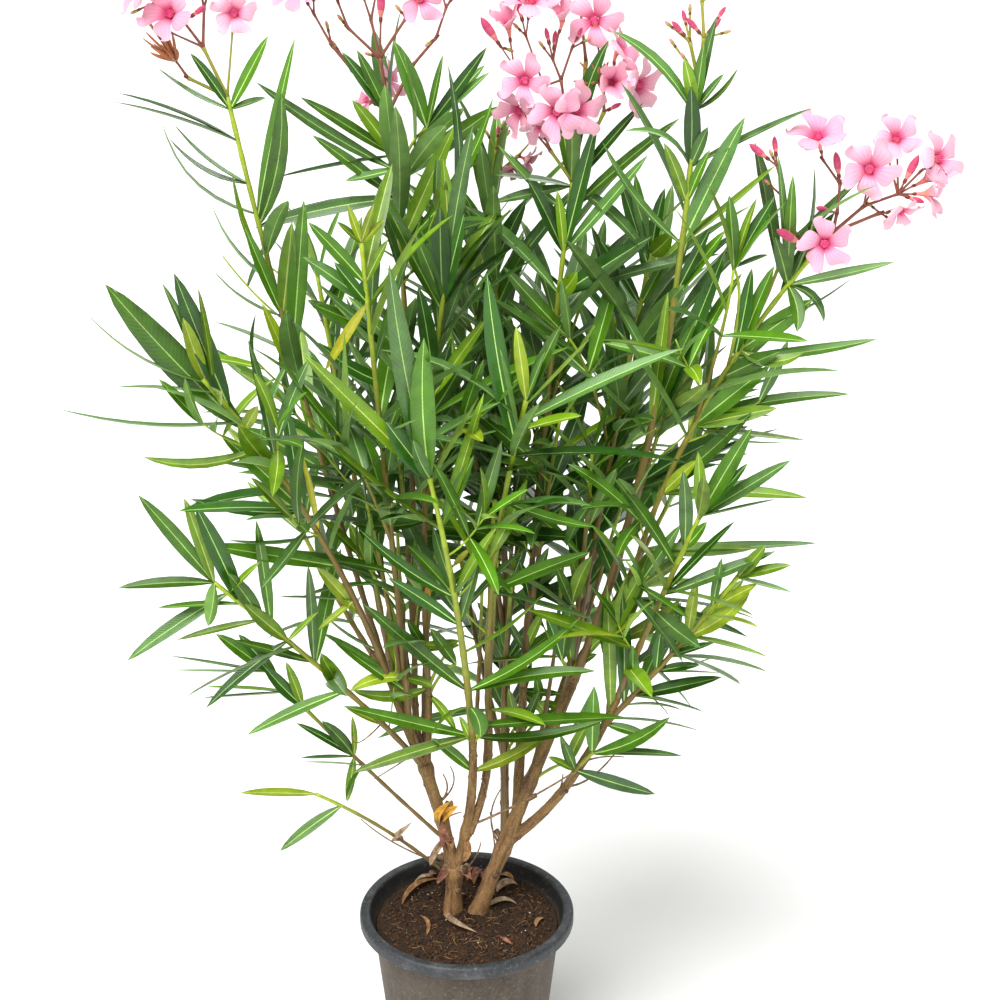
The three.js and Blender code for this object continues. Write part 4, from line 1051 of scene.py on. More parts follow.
# a whorl of leaves: its number counts from the tip, and whorls open out further down
def growWhorl(mass, number, branch, stem, whorl):
    shoot = shoots[mass]
    run = leafyRun(mass, branch, stem)
    if whorl * leaf["spacing"] >= run:
        return
    bare = shoot.get("bare", 0) if branch == 0 else 0
    at = 1 - bare - leaf["spacing"] * (whorl + leaf["firstWhorl"]) / stem.length
    last = math.floor(run / leaf["spacing"])
    openShare = (whorl / max(leaf["openingWhorls"], last)) ** leaf["openingPower"]
    opening = leaf["tipAngle"] + (leaf["footAngle"] - leaf["tipAngle"]) * openShare
    grown = min(1, leaf["youngShare"] + (1 - leaf["youngShare"]) * whorl / leaf["youngWhorls"])
    fresher = leaf["youngFresher"] * (1 - grown) / (1 - leaf["youngShare"])
    freshness = shoot["fresh"] + fresher - leaf["openDuller"] * openShare
    seed = number * 8 + branch
    if whorl % 2 and chance(seed, whorl, 77) > leaf["between"]:
        return
    # older leaves have dropped, more of them low in the crown
    shed = shoot.get("shed", leaf["shed"])
    kept = np.clip(1 - (shed - stem.at(at)[2]) / leaf["shedFall"], shoot.get("kept", leaf["keptLow"]), 1)
    kept = kept * shoot.get("share", 1)
    for i in range(leaf["inWhorl"]):
        if chance(seed, whorl, 60 + i) > kept:
            continue
        draw = [chance(seed, whorl, i + k * leaf["inWhorl"]) for k in range(4)]
        turn = whorl * leaf["turn"] + i * 360 / leaf["inWhorl"] + leaf["turnSpread"] * (draw[0] - 0.5)
        angle = radians(opening + leaf["angleSpread"] * (draw[1] - 0.5))
        size = grown * (leaf["smallest"] + leaf["sizeSpread"] * draw[2])
        length, width = leaf["length"] * size, leaf["width"] * (0.35 + 0.65 * size)
        roll = radians(leaf["roll"] * (draw[3] - 0.5))
        arch = leaf["arch"] * (0.3 + 1.6 * openShare) + leaf["archSpread"] * (draw[0] - 0.5)
        own = seed * 97 + whorl * 3 + i
        for swing in leaf["swings"]:
            along = leanFrom(stem.along(at), angle, radians(turn + swing))
            if growLeaf(mass, stem, at, along, length, width, roll, own, toneOf(freshness, own), arch):
                break


# a fine twig in the axil of a whorl, with a few small leaves
axil = {
    "chance": 0.17, "firstWhorl": 3, "above": 0.4, "lowest": 0.02, "length": 46, "spread": 40, "angle": 42,
    "angleSpread": 16, "rise": 0.12, "radius": 1.2, "rings": 3, "spacing": 15, "leafless": 0.3, "inRing": 3,
    "spinSpread": 40, "lean": 28, "leanStep": 18, "leanSpread": 18, "leaf": 52, "leafStep": 16,
    "leafSpread": 26, "leafFoot": 9, "leafShare": 0.07, "fresher": 0.7,
}


def growAxil(mass, number, branch, stem, whorl):
    seed = number * 8 + branch
    if whorl * leaf["spacing"] >= leafyRun(mass, branch, stem) or chance(seed, whorl, 31) > axil["chance"]:
        return
    at = 1 - shoots[mass].get("bare", 0) - leaf["spacing"] * (whorl + axil["above"]) / stem.length
    if at < axil["lowest"]:
        return
    draw = [chance(seed, whorl, 40 + k) for k in range(4)]
    angle = radians(axil["angle"] + axil["angleSpread"] * (draw[1] - 0.5))
    along = leanFrom(stem.along(at), angle, 2 * math.pi * draw[0])
    foot = stem.at(at)
    reach = axil["length"] + axil["spread"] * draw[2]
    twig = Route(foot, foot + along * reach * 0.5, foot + along * reach + place(0, 0, axil["rise"] * reach))
    grown = 0
    for ring in range(axil["rings"]):
        share = 1 - ring * axil["spacing"] / reach - 0.02
        if share < axil["leafless"]:
            break
        for i in range(axil["inRing"]):
            own = number * 811 + branch * 53 + whorl * 9 + ring * 3 + i
            spin = ring * leaf["turn"] + 120 * i + axil["spinSpread"] * (chance(own, 3, 1) - 0.5)
            lean = axil["lean"] + axil["leanStep"] * ring + axil["leanSpread"] * (chance(own, 3, 2) - 0.5)
            direction = leanFrom(twig.along(share), radians(lean), radians(spin))
            length = axil["leaf"] + axil["leafStep"] * ring + axil["leafSpread"] * chance(own, 3, 3)
            width = axil["leafFoot"] + axil["leafShare"] * length
            tone = toneOf(shoots[mass]["fresh"] + axil["fresher"], own)
            grown += growLeaf(mass, twig, share, direction, length, width, 0, own, tone)
    if grown:
        twigs.append((twig, axil["radius"], 0.7 * axil["radius"], 0.1))


def growLeaves():
    masses = list(shoots)
    branches = {name: [stems[name]] for name in masses}
    for name in masses:
        for at, *tip in shoots[name].get("twigs", []):
            start, end = stems[name].at(at), place(*tip)
            rise = stems[name].along(at) * 0.1 * norm(end - start)
            twig = Route(start, (start + end) / 2 + rise, end)
            branches[name].append(twig)
            twigs.append((twig, *leaf["stemTwig" if at < leaf["stemBelow"] else "sideTwig"]))
    for *sighted, thick, thin in whips:
        twigs.append((sightedRoute(*sighted), thick, thin, leaf["whipWoody"]))
    for route in (*limbRoutes.values(), *(b for group in branches.values() for b in group)):
        standing.addWood(route, room["woodRadius"])
    for number, name in enumerate(masses):
        growReach(name, shoots[name], number)
        for i, (across, down, *blades) in enumerate(sightings.get(name, [])):
            growSighting(name, (across, down), blades, number * 40 + i)
    for grow, first in ((growWhorl, 0), (growAxil, axil["firstWhorl"])):
        for whorl in range(first, leaf["mostWhorls"]):
            for number, name in enumerate(masses):
                for branch, stem in enumerate(branches[name]):
                    grow(name, number, branch, stem, whorl)


# live leaf tones, undersides and ribs: the grey one is partly the leaves' own grey-green and partly painted
# sheen, a greyer green in place of the sky reflected on glossy leaves
leafColours = {
    deep: "#2d5e0e", grey: "#547d39", mid: "#4b7b0f", fresh: "#739c14", young: "#92aa1c",
    yellow: "#f4ea38", dry: "#a8875a",
    "underCool": "#6a9044", "underWarm": "#84a43e", "ribCool": "#aed074", "ribWarm": "#cee07c",
}


# leathery and half glossy: each leaf a little lighter or darker, mottled, with fine side veins
def leafMaterial(name, code):
    material, spot = startMaterial("leaf_" + name)
    run, across, own = spot.carried("blade").parts()
    edge = abs(across)
    veins = (run * leaf["veins"] - edge * leaf["veinLean"]).sine()
    grain, mottle = spot.noise(700.0, 4.0), spot.noise(75.0)
    light = own * 0.6 + mottle * 0.75 + veins * 0.05 - edge * 0.22 - 0.12
    shade = light.step().mix(tint(code, leaf["darker"]), tint(code, leaf["lighter"]))
    dull = leaf["dull"] if name == dry or name.startswith("under") else 0.0
    return finishMaterial(material, grain * 0.5 + veins * 0.25, 0.3, 0.0006, Base_Color=shade,
                          Roughness=mottle * 0.3 + 0.18 + dull, Specular_IOR_Level=0.5)


def makeLeaves():
    growLeaves()
    materials = [leafMaterial(name, code) for name, code in leafColours.items()]
    middle = ["middle_bloom", "middle", "front", "front_right", "centre_bloom", "centre_back"]
    for sector in ("left", "middle", "right", "back"):
        masses = middle if sector == "middle" else [n for n in shoots if n.startswith(sector)]
        rows = [row for mass in masses for row in leaves[mass]]
        leafPiece("leaves_" + sector, rows, materials, ["foliage_" + mass for mass in masses])
    print("leaves: %d in all" % sum(len(rows) for rows in leaves.values()))


makeLeaves()

# Shoots: stems, side twigs and axil twigs, brown and woody at the foot and green at the tip
wood = {
    "stemRadius": 3.4, "stemTip": 2.4, "sides": 10, "sunk": 5.0, "step": 9, "node": 0.10,
    "twigSides": 6, "twigSunk": 1.0,
    "ages": ["#a6bd2c", "#9aab30", "#90982f", "#8c8430", "#85762f", "#7e6a2c", "#775f2a", "#7c6234"],
}


# a stem with a node at each whorl, aged in steps from a woody foot to a green tip
def addShoot(bundle, route, foot, tip, woody, sides, sunk):
    t = np.linspace(0, 1, max(4, int(route.length / wood["step"]) + 1))
    nodes = 1 + wood["node"] * np.cos(2 * np.pi * (1 - t) * route.length / leaf["spacing"])
    ages = len(wood["ages"])
    age = np.clip(woody * (1 - t[:-1]) * ages * 1.25, 0, ages - 1).astype(int)
    finishes = [np.repeat(age, sides), age[:1], age[-1:]]
    bundle.addTube(route, (foot + (tip - foot) * t) * nodes, sides, finishes, sunk)


def shootMaterial(i, code):
    material, spot = startMaterial("shoot_%d" % i)
    grain, broad = spot.noise(420.0, 5.0, 0.65), spot.noise(60.0, 4.0, 0.65)
    shade = (broad * 0.9 + grain * 0.5 - 0.2).step(0.1, 0.9).mix(tint(code, 0.55), tint(code, 1.4))
    return finishMaterial(material, grain, 0.35, 0.0006, Base_Color=shade, Roughness=grain * 0.25 + 0.34)


def makeShoots():
    bundle = Bundle()
    limbTips = {tuple(row[4]): row[6] for row in limbs}
    for name, route in stems.items():
        foot = limbTips.get(tuple(route.foot), wood["stemRadius"])
        foot = shoots[name].get("thin", foot)
        woody = shoots[name].get("woody", 1.0)
        addShoot(bundle, route, foot, min(foot, wood["stemTip"]), woody, wood["sides"], wood["sunk"])
    for row in twigs:
        addShoot(bundle, *row, wood["twigSides"], wood["twigSunk"])
    materials = [shootMaterial(i, code) for i, code in enumerate(wood["ages"])]
    bundle.piece("shoots", materials, "foliage", ["foliage_" + name for name in shoots])


makeShoots()
print("shoots: stems and twigs")

# Bark: trunks and boughs with their fibres, leaf scars, collars and root flare
bark = {
    "sides": 32, "step": 2.4, "buried": 14, "flare": 3.2, "forkFlare": 0.28, "flareLength": 16,
    "lobes": 0.35, "fibre": 0.026, "scar": 0.85, "scarSpacing": 27, "collar": 0.24, "collarLength": 10,
    "tan": 200, "toOlive": 280,
}


# radius(run, a) = taper + flare + fibres + whorled scars + a collar at each fork
def limbSurface(bundle, row, number):
    name, source, _, _, _, foot, tip = row
    route = limbRoutes[name]
    t = np.linspace(0, 1, int(route.length / bark["step"]) + 2)
    centres = route.at(t)
    run = (t * route.length)[:, None]
    base = foot + (tip - foot) * t[:, None]
    a = onceRound(bark["sides"])[None]
    isTrunk = source == "soil"
    flare = bark["flare"] if isTrunk else bark["forkFlare"] * foot
    above = np.maximum(run - bark["buried"] * isTrunk, 0)
    lobes = 1 + bark["lobes"] * isTrunk * np.cos(3 * a + number)
    radius = base + flare * np.exp(-above / bark["flareLength"]) * lobes
    wander = 0.9 * waves(run * 0.02, run * 0.013, number)
    fibres = 0
    for k, cycles in enumerate((5, 9, 14)):
        turn = cycles * a + wander * (k + 1) + waves(run * 0.05, a * 0, k) * 2
        fibres = fibres + np.sin(turn) / (k + 1.5)
    radius = radius * (1 + bark["fibre"] * fibres + 0.03 * waves(run * 0.11, a * 2, number + 3))
    # where each whorl stood, a ring with three beads
    whorl = run / bark["scarSpacing"] + 0.3 * number
    near = (whorl - np.round(whorl)) * bark["scarSpacing"] / 1.6
    beads = np.maximum(np.cos(3 * (a - np.round(whorl) * 1.05)), 0) ** 6
    radius = radius + bark["scar"] * np.exp(-near ** 2) * (0.35 + beads)
    for other in limbs:
        if other[1] == name:
            nearest = np.argmin(norm(centres - place(*other[2]), axis=1))
            away = (run - run[nearest]) / bark["collarLength"]
            radius = radius + bark["collar"] * base * np.exp(-away ** 2)
    points = tube(centres, radius, bark["sides"])
    fibre = aroundAxis(base, a, 0.16 * run) + number * 9.0
    age = np.clip((points[..., 2] - bark["tan"]) / bark["toOlive"], 0, 1)
    bundle.add(points, ringFaces(len(t), bark["sides"]), fibre=fibre, age=age)


def barkMaterial():
    material, spot = startMaterial("bark")
    fibre, age = spot.carried("fibre"), spot.carried("age", "Fac")
    strands, patches = fibre.noise(0.9, 6.0, 0.62), fibre.noise(0.16, 4.0, 0.6)
    specks, cracks = fibre.noise(2.6, 2.0), fibre.noise(0.45, 5.0, 0.7)
    tan = strands.step(0.2, 0.8).mix("#6b4929", "#b48a5a")
    olive = strands.step(0.25, 0.75).mix("#54401a", "#8e7432")
    shade = (age * 0.9 + patches * 0.6 - 0.3).step(0.1, 0.8).mix(tan, olive)
    shade = ((1 - patches).step(0.46, 0.64) * 0.85).mix(shade, "#4c2f17")
    shade = ((1 - cracks).step(0.6, 0.68) * (0.35 + age * 0.6)).mix(shade, "#402915")
    shade = specks.step(0.6, 0.74).mix(shade, "#cfb080")
    height = strands * 0.6 + cracks + specks * 0.3
    return finishMaterial(material, height, 0.5, 0.001, Base_Color=shade, Roughness=strands * 0.2 + 0.62)


def makeBark():
    bundle = Bundle()
    for number, row in enumerate(limbs):
        limbSurface(bundle, row, number)
    bundle.piece("bark", [barkMaterial()], "bark", [row[0] for row in limbs])


makeBark()
print("bark: trunks and boughs")

# Pot: a thin tapering wall under a thick rounded rim
pot = {
    "height": 210, "foot": 82.5, "neck": 104, "rim": 118.5, "rimHeight": 13, "rimWidth": 12,
    "rounding": 4, "edge": 1.5, "lip": 1.2, "wall": 2.2, "floor": 3, "segments": 160, "sharp": 35,
    "holes": 6, "holeRadius": 5, "holeCircle": 58, "holeSides": 20,
}


# an arc of a profile: centre + r (cos a, sin a) from one angle to another, in degrees
def arc(x, z, r, first, last, steps):
    a = np.radians(np.linspace(first, last, steps + 1))
    return [(x + r * math.cos(b), z + r * math.sin(b)) for b in a]


# a surface of revolution: every profile point carried once round the Z axis
def lathe(profile, segments):
    radius, height = np.array(profile, float).T[..., None]
    return aroundAxis(radius, onceRound(segments), height)


# a weathered wall, mottled and streaked, and a darker rim whose inner face is darkened with painted shade
def potMaterial():
    material, spot = startMaterial("wornPlastic")
    fine, broad = spot.noise(260.0, 6.0, 0.7), spot.noise(22.0, 5.0, 0.6)
    streaks = spot.scaled(45.0, 45.0, 14.0).noise(1.0, 4.0, 0.6)
    atRim = spot.parts()[2].step(0.190, 0.199)
    flat = spot.scaled(1.0, 1.0, 0.0)
    away = flat.node("VectorMath", {"operation": "LENGTH"}, {0: flat}, "Value")
    # painted shade: the inner face of the wall above the soil is mixed towards near black, as if shadowed by
    # the rim
    inside = (1 - away.step(0.1065, 0.1085)) * atRim
    body = (streaks * 0.5 + fine * 0.7 - 0.1).step(0.3, 0.7).mix("#251f19", "#65584a")
    body = (broad.step(0.45, 0.7) * 0.6).mix(body, "#51483c")
    rim = fine.step(0.36, 0.66).mix("#1c1e20", "#3d4044")
    rim = broad.step(0.52, 0.74).mix(rim, "#56585b")
    shade = (inside * 0.8).mix(atRim.mix(body, rim), "#1f1c19")
    scratches = fine.step(0.62, 0.7).mix(shade, "#8a857b")
    rough = fine * 0.25 + 0.6 - atRim * 0.15
    return finishMaterial(material, fine + broad, 0.3, 0.0006, Base_Color=scratches, Roughness=rough)


def makePot():
    p = pot
    rimFoot = p["height"] - p["rimHeight"]
    inner = p["rim"] - p["rimWidth"]
    r, edge, lip = p["rounding"], p["edge"], p["lip"]
    profile = [(0.01, 0), (p["foot"] - edge, 0), *arc(p["foot"] - edge, edge, edge, -90, -5, 3)]
    profile += [(p["neck"], rimFoot), (p["rim"] - lip, rimFoot)]
    profile += arc(p["rim"] - lip, rimFoot + lip, lip, -90, 0, 3)
    profile += arc(p["rim"] - r, p["height"] - r, r, 0, 90, 6)
    profile += arc(inner + r, p["height"] - r, r, 90, 180, 6)
    wallFoot = (p["foot"] - p["wall"], p["floor"])
    profile += [(p["neck"] - p["wall"], rimFoot - 6), wallFoot, (0.01, p["floor"])]
    bundle = Bundle()
    bundle.add(lathe(profile, p["segments"]), ringFaces(len(profile), p["segments"]))
    piece = bundle.piece("nursery_pot", [potMaterial()], "pot", ["pot"])
    holes = Bundle()
    for a in onceRound(p["holes"]):
        hole = lathe([(p["holeRadius"], -5), (p["holeRadius"], 9)], p["holeSides"])
        hole = hole + place(p["holeCircle"] * math.cos(a), p["holeCircle"] * math.sin(a), 0)
        holes.add(hole, ringFaces(2, p["holeSides"]))
    cutHoles(piece, holes)


# cuts the bundle's closed shapes out of a piece and keeps the result as its mesh
def cutHoles(piece, holes):
    cutter = holes.piece("hole_cutter", [piece.data.materials[0]], "pot")
    cut = piece.modifiers.new("holes", "BOOLEAN")
    cut.object = cutter
    cut.solver = "EXACT"
    bpy.context.view_layer.update()
    done = bpy.data.meshes.new_from_object(piece.evaluated_get(bpy.context.evaluated_depsgraph_get()))
    piece.modifiers.clear()
    piece.data = done
    bpy.data.objects.remove(cutter)
    done.polygons.foreach_set("use_smooth", np.ones(len(done.polygons), bool))
    done.set_sharp_from_angle(angle=radians(pot["sharp"]))


makePot()

# Soil: crumbly potting earth with bark fibres and grit; crumbs and grit as number, least and most size,
# and clods as height, pace and seed
soil = {
    "top": 196, "fall": 3, "level": 60, "gap": 0.4, "rings": 110, "segments": 340, "grain": 0.6, "seed": 7,
    "crumbs": (2200, 0.7, 3.4), "grit": (60, 0.7, 1.7), "fibres": 120, "fibreReach": 88, "leafReach": 96,
    "clods": [(1.1, 0.13, 2), (0.7, 0.41, 5), (0.4, 1.1, 8)],
}


def soilRadius(z):
    slope = (pot["neck"] - pot["foot"]) / (pot["height"] - pot["rimHeight"])
    return pot["foot"] + slope * z - pot["wall"] - 0.9


# height over the middle: flat to a radius, then falling to the wall, with clods and hollows and a
# low mound under the trunks
def soilHeight(x, y):
    edge = soilRadius(soil["top"])
    drop = soil["fall"] * np.clip((np.hypot(x, y) - soil["level"]) / (edge - soil["level"]), 0, 1)
    clods = sum(size * waves(x * pace, y * pace, seed) for size, pace, seed in soil["clods"])
    mound = 3.0 * np.exp(-((x + 4) ** 2 + (y - 14) ** 2) / 900)
    return soil["top"] - drop + clods + mound - 0.8


def soilMaterial():
    material, spot = startMaterial("earth")
    fine, broad = spot.noise(900.0, 6.0, 0.75), spot.noise(90.0, 4.0, 0.6)
    base = fine.step(0.3, 0.7).mix("#180e06", "#482d17")
    base = broad.step(0.45, 0.8).mix(base, "#55381d")
    flecks = spot.noise(1500.0, 2.0).step(0.64, 0.7).mix(base, "#8f7048")
    return finishMaterial(material, fine + broad, 1.0, 0.003, Base_Color=flecks, Roughness=0.95)


def plainMaterial(name, first, second, scale, rough):
    material, spot = startMaterial(name)
    grain = spot.noise(scale, 4.0)
    shade = grain.step(0.35, 0.65).mix(first, second)
    return finishMaterial(material, grain, 0.5, 0.001, Base_Color=shade, Roughness=rough)


def makeSoil():
    edge = soilRadius(soil["top"] - soil["fall"])
    r = np.linspace(0.02, 1, soil["rings"])[:, None] * edge
    a = onceRound(soil["segments"])[None]
    x, y = r * np.cos(a), r * np.sin(a)
    grain = np.random.default_rng(soil["seed"]).normal(0, soil["grain"], x.shape)
    top = np.stack([x, y, soilHeight(x, y) + grain], -1)[::-1]
    bottom = aroundAxis(soilRadius(pot["floor"]) - soil["gap"], a, pot["floor"] + soil["gap"])
    points = np.concatenate([bottom, top])
    bundle = Bundle()
    bundle.add(points, ringFaces(len(points), soil["segments"]))
    bundle.piece("earth", [soilMaterial()], "soil", ["soil"])


# lumps: a six-cornered stone pushed out of shape, scaled, turned and dropped on the soil
def scatterLumps(count, smallest, largest, seed):
    draw = np.random.default_rng(seed)
    corners = np.array([[1, 0, 0], [0, 1, 0], [-1, 0, 0], [0, -1, 0], [0, 0, 1], [0, 0, -1]], float)
    upper = [(0, 1, 4), (1, 2, 4), (2, 3, 4), (3, 0, 4)]
    faces = np.array([*upper, (1, 0, 5), (2, 1, 5), (3, 2, 5), (0, 3, 5)])
    size = smallest + (largest - smallest) * draw.random(count) ** 2.5
    lumps = corners[None] * (0.65 + 0.6 * draw.random((count, 6, 1))) * size[:, None, None]
    turn = draw.random(count) * 2 * np.pi
    cos, sin = np.cos(turn)[:, None], np.sin(turn)[:, None]
    x, y, z = lumps[..., 0], lumps[..., 1], lumps[..., 2]
    lumps = np.stack([x * cos - y * sin, x * sin + y * cos, z * 0.75], -1)
    radius = np.sqrt(draw.random(count)) * (soilRadius(soil["top"]) - 6)
    angle = draw.random(count) * 2 * np.pi
    x, y = radius * np.cos(angle), radius * np.sin(angle)
    lumps = lumps + np.stack([x, y, soilHeight(x, y) + 0.35 * size], -1)[:, None]
    return lumps, (faces[None] + (np.arange(count) * 6)[:, None, None]).reshape(-1, 3)


def makeLitter():
    bundle = Bundle()
    for finish, (count, smallest, largest) in enumerate((soil["crumbs"], soil["grit"])):
        lumps, faces = scatterLumps(count, smallest, largest, soil["seed"] + finish)
        bundle.add(lumps, [faces], finish)
    draw = np.random.default_rng(soil["seed"] + 2)
    for _ in range(soil["fibres"]):
        radius = math.sqrt(draw.random()) * soil["fibreReach"]
        angle, turn = draw.random() * 6.28, draw.random() * 6.28
        t = np.linspace(-1, 1, 7)
        reach = 2 + 6 * draw.random()
        x = radius * math.cos(angle) + reach * t * math.cos(turn) + 1.5 * t * t * math.sin(turn)
        y = radius * math.sin(angle) + reach * t * math.sin(turn) - 1.5 * t * t * math.cos(turn)
        centres = np.stack([x, y, soilHeight(x, y) + 0.8 + 0.6 * (1 - t * t)], -1)
        bundle.add(tube(centres, 0.42 * np.sqrt(1.02 - t * t), 4, (0, 0, 1.0)), ringFaces(7, 4), 2)
    materials = [
        plainMaterial("crumb", "#1c1006", "#5a3a1e", 160.0, 0.95),
        plainMaterial("grit", "#b9a98c", "#e4dcc8", 900.0, 0.8),
        plainMaterial("barkFibre", "#4e2f1c", "#a88252", 60.0, 0.85),
    ]
    bundle.piece("soil_litter", materials, "soil")


makeSoil()
makeLitter()
print("pot and soil")

# Dead twigs, cut stubs and dry leaves: those caught in the forks and those that lie on the soil
dead = {
    "sections": 14, "sides": 7, "stubSections": 7, "stubSides": 12, "inside": 5, "lift": 1.5, "widen": 1.5,
    "caughtSeed": 40, "caughtArch": 0.22, "spreads": (0.4, 1.8), "fold": 24, "foldSpread": 22,
    "twigs": [  # what carries it, then foot, knee and tip in the photo's frame, forward in mm, radii
        ("trunk_left", (448, 868), (400, 846), (361, 819), -6, 1.2, 0.6),
        ("bough_left", (452, 800), (447, 790), (443, 774), 6, 1.4, 0.7),
        ("bough_left", (450, 800), (453, 785), (450, 766), -4, 1.2, 0.6),
        ("bough_left", (440, 828), (447, 818), (462, 812), 8, 1.1, 0.6),
        ("bough_front", (471, 828), (522, 802), (577, 770), 26, 1.5, 0.9),
        ("bough_front", (478, 812), (485, 798), (481, 778), 6, 1.1, 0.6),
        ("trunk_left", (458, 880), (472, 862), (481, 842), 8, 1.2, 0.6),
        ("trunk_right", (520, 832), (529, 824), (538, 815), 10, 1.3, 0.6),
        ("trunk_right", (507, 850), (491, 818), (503, 786), 8, 1.3, 0.6),
        ("trunk_right", (500, 866), (494, 840), (490, 812), -8, 1.1, 0.6),
        ("bough_right", (556, 795), (561, 786), (563, 774), 4, 1.3, 0.7),
        ("bough_right", (586, 765), (602, 757), (624, 757), 8, 1.2, 0.6),
        ("bough_right", (566, 786), (590, 778), (616, 752), -10, 1.4, 0.8),
        ("left_low", (368, 738), (360, 742), (352, 736), 4, 0.9, 0.5),
        ("left_low", (396, 770), (386, 772), (374, 779), 8, 0.9, 0.5),
        ("right_low", (640, 690), (655, 700), (668, 714), 4, 1.0, 0.5),
        ("bough_left_outer", (366, 640), (374, 652), (372, 666), 8, 1.2, 0.8),
    ],
    "stubs": [  # limb, where on it, degrees round it, lean from the limb in degrees, length, radius
        ("trunk_left", 0.92, 200, 60, 12, 5.5), ("bough_left", 0.04, 150, 55, 13, 4.2),
        ("bough_front", 0.03, -60, 50, 14, 4.4), ("trunk_left", 0.55, -60, 60, 10, 3.0),
        ("trunk_right", 0.2, -80, 50, 12, 3.4), ("trunk_right", 0.33, 170, 50, 14, 3.2),
        ("bough_right", 0.45, -100, 40, 16, 2.6), ("trunk_right", 0.5, 10, 45, 13, 2.8),
        ("bough_left", 0.5, 20, 45, 12, 2.6),
    ],
    "fallen": [  # foot and tip in the photo's frame, width, height of the middle, tone
        ((446, 914), (478, 934), 8, 3, grey), ((447, 912), (467, 897), 7, 6, grey),
        ((489, 908), (517, 905), 8, 4, grey), ((440, 878), (402, 904), 7, 5, mid),
        ((434, 877), (397, 871), 8, 6, grey), ((432, 867), (410, 857), 7, 5, deep),
        ((474, 884), (487, 862), 9, 9, deep), ((468, 880), (478, 858), 8, 10, deep),
        ((484, 884), (478, 866), 8, 8, deep), ((497, 893), (518, 884), 10, 5, grey),
        ((420, 916), (426, 936), 4, 2, mid), ((536, 926), (546, 918), 5, 2, mid),
        ((463, 866), (470, 850), 7, 9, grey), ((500, 938), (512, 944), 4, 2, deep),
        ((505, 868), (522, 872), 8, 4, mid), ((452, 884), (446, 868), 8, 9, grey),
    ],
    "caught": [  # what carries it, then foot and tip in the photo's frame, forward, width, tone
        ("left_sucker", (412, 828), (391, 841), 10, 7, grey),
        ("bough_left", (438, 846), (442, 822), 14, 9, deep),
        ("bough_left", (437, 840), (430, 866), 12, 7, grey),
        ("bough_left", (444, 836), (452, 850), 16, 8, mid),
        ("bough_left", (441, 822), (458, 806), 10, 9, yellow),
        ("bough_left", (443, 824), (450, 802), 14, 7, yellow),
        ("bough_left", (441, 820), (452, 800), -6, 9, mid),
        ("trunk_left", (452, 868), (437, 884), 14, 8, deep),
        ("bough_front", (468, 838), (463, 862), 12, 7, mid),
        ("trunk_left", (456, 872), (472, 880), 16, 8, deep),
        ("left_sucker", (398, 830), (412, 822), 6, 6, grey),
        ("middle", (432, 600), (428, 582), 8, 6, yellow),
    ],
    "tones": {
        grey: ("#6f5943", "#b39a7c"), deep: ("#5a3226", "#a06a54"), mid: ("#6b4826", "#ae8450"),
        yellow: ("#b97c1c", "#e0b040"),
    },
}


# the point of the soil under a place in the photo's frame, kept clear of the pot's wall
def onSoil(spot):
    ray = fromPhoto(*spot, 0) - eye
    point = eye + ray * ((soil["top"] - eye[2]) / ray[2])
    point[:2] *= min(1.0, soil["leafReach"] / np.hypot(point[0], point[1]))
    point[2] = soilHeight(point[0], point[1])
    return point + place(0, 0, dead["lift"])


# a dry leaf from foot to tip, curled and twisted more than a live one
def dryLeaf(i, foot, tip, width, arch, tone, up):
    length = float(norm(tip - foot))
    along = unit(tip - foot)
    sway, twist = (spread * (chance(i, 2, k) - 0.5) for k, spread in enumerate(dead["spreads"], 2))
    return {
        "base": foot, "along": along, "normal": unit(up - along * (up @ along)), "length": length,
        "width": width * dead["widen"], "arch": arch, "sway": sway, "twist": twist,
        "fold": radians(dead["fold"] + dead["foldSpread"] * chance(i, 2, 4)), "tone": tone,
    }


def makeDeadTwigs():
    bundle = Bundle()
    t = np.linspace(0, 1, dead["sections"])
    for *sighted, thick, thin in dead["twigs"]:
        radii = thick + (thin - thick) * t + 0.12 * waves(t * 30, t * 11)
        bundle.addTube(sightedRoute(*sighted), radii, dead["sides"])
    t = np.linspace(0, 1, dead["stubSections"])
    for name, share, turn, lean, length, radius in dead["stubs"]:
        foot = routes[name].at(share)
        out = leanFrom(routes[name].along(share), radians(lean), radians(turn))
        route = straight(foot, foot + out * (length + dead["inside"]))
        bundle.addTube(route, radius * (1.15 - 0.2 * t), dead["stubSides"], [0, 0, 1])
    materials = [
        plainMaterial("deadTwig", "#5b4430", "#9a7c58", 300.0, 0.85),
        plainMaterial("cutWood", "#3a2a1d", "#6a4f38", 600.0, 0.9),
    ]
    bundle.piece("dead_twigs", materials, "bark")


def makeDryLeaves():
    rows = []
    for i, (foot, tip, width, rise, tone) in enumerate(dead["fallen"]):
        start, end = onSoil(foot), onSoil(tip)
        rows.append(dryLeaf(i, start, end, width, rise / norm(end - start), tone, place(0, 0, 1)))
    for i, (name, foot, tip, forward, width, tone) in enumerate(dead["caught"]):
        start = nearestOn(name, foot)
        end = fromPhoto(*tip, start[1] - forward)
        up = unit(eye - start) + place(0, 0, 0.6)
        rows.append(dryLeaf(i + dead["caughtSeed"], start, end, width, dead["caughtArch"], tone, up))
    pairs = dead["tones"].items()
    made = {name: plainMaterial("dryLeaf_" + name, *pair, 160.0, 0.8) for name, pair in pairs}
    leafPiece("dry_leaves", rows, [made.get(name, made[mid]) for name in leafColours], ())


makeDeadTwigs()
makeDryLeaves()
print("dead twigs and dry leaves")

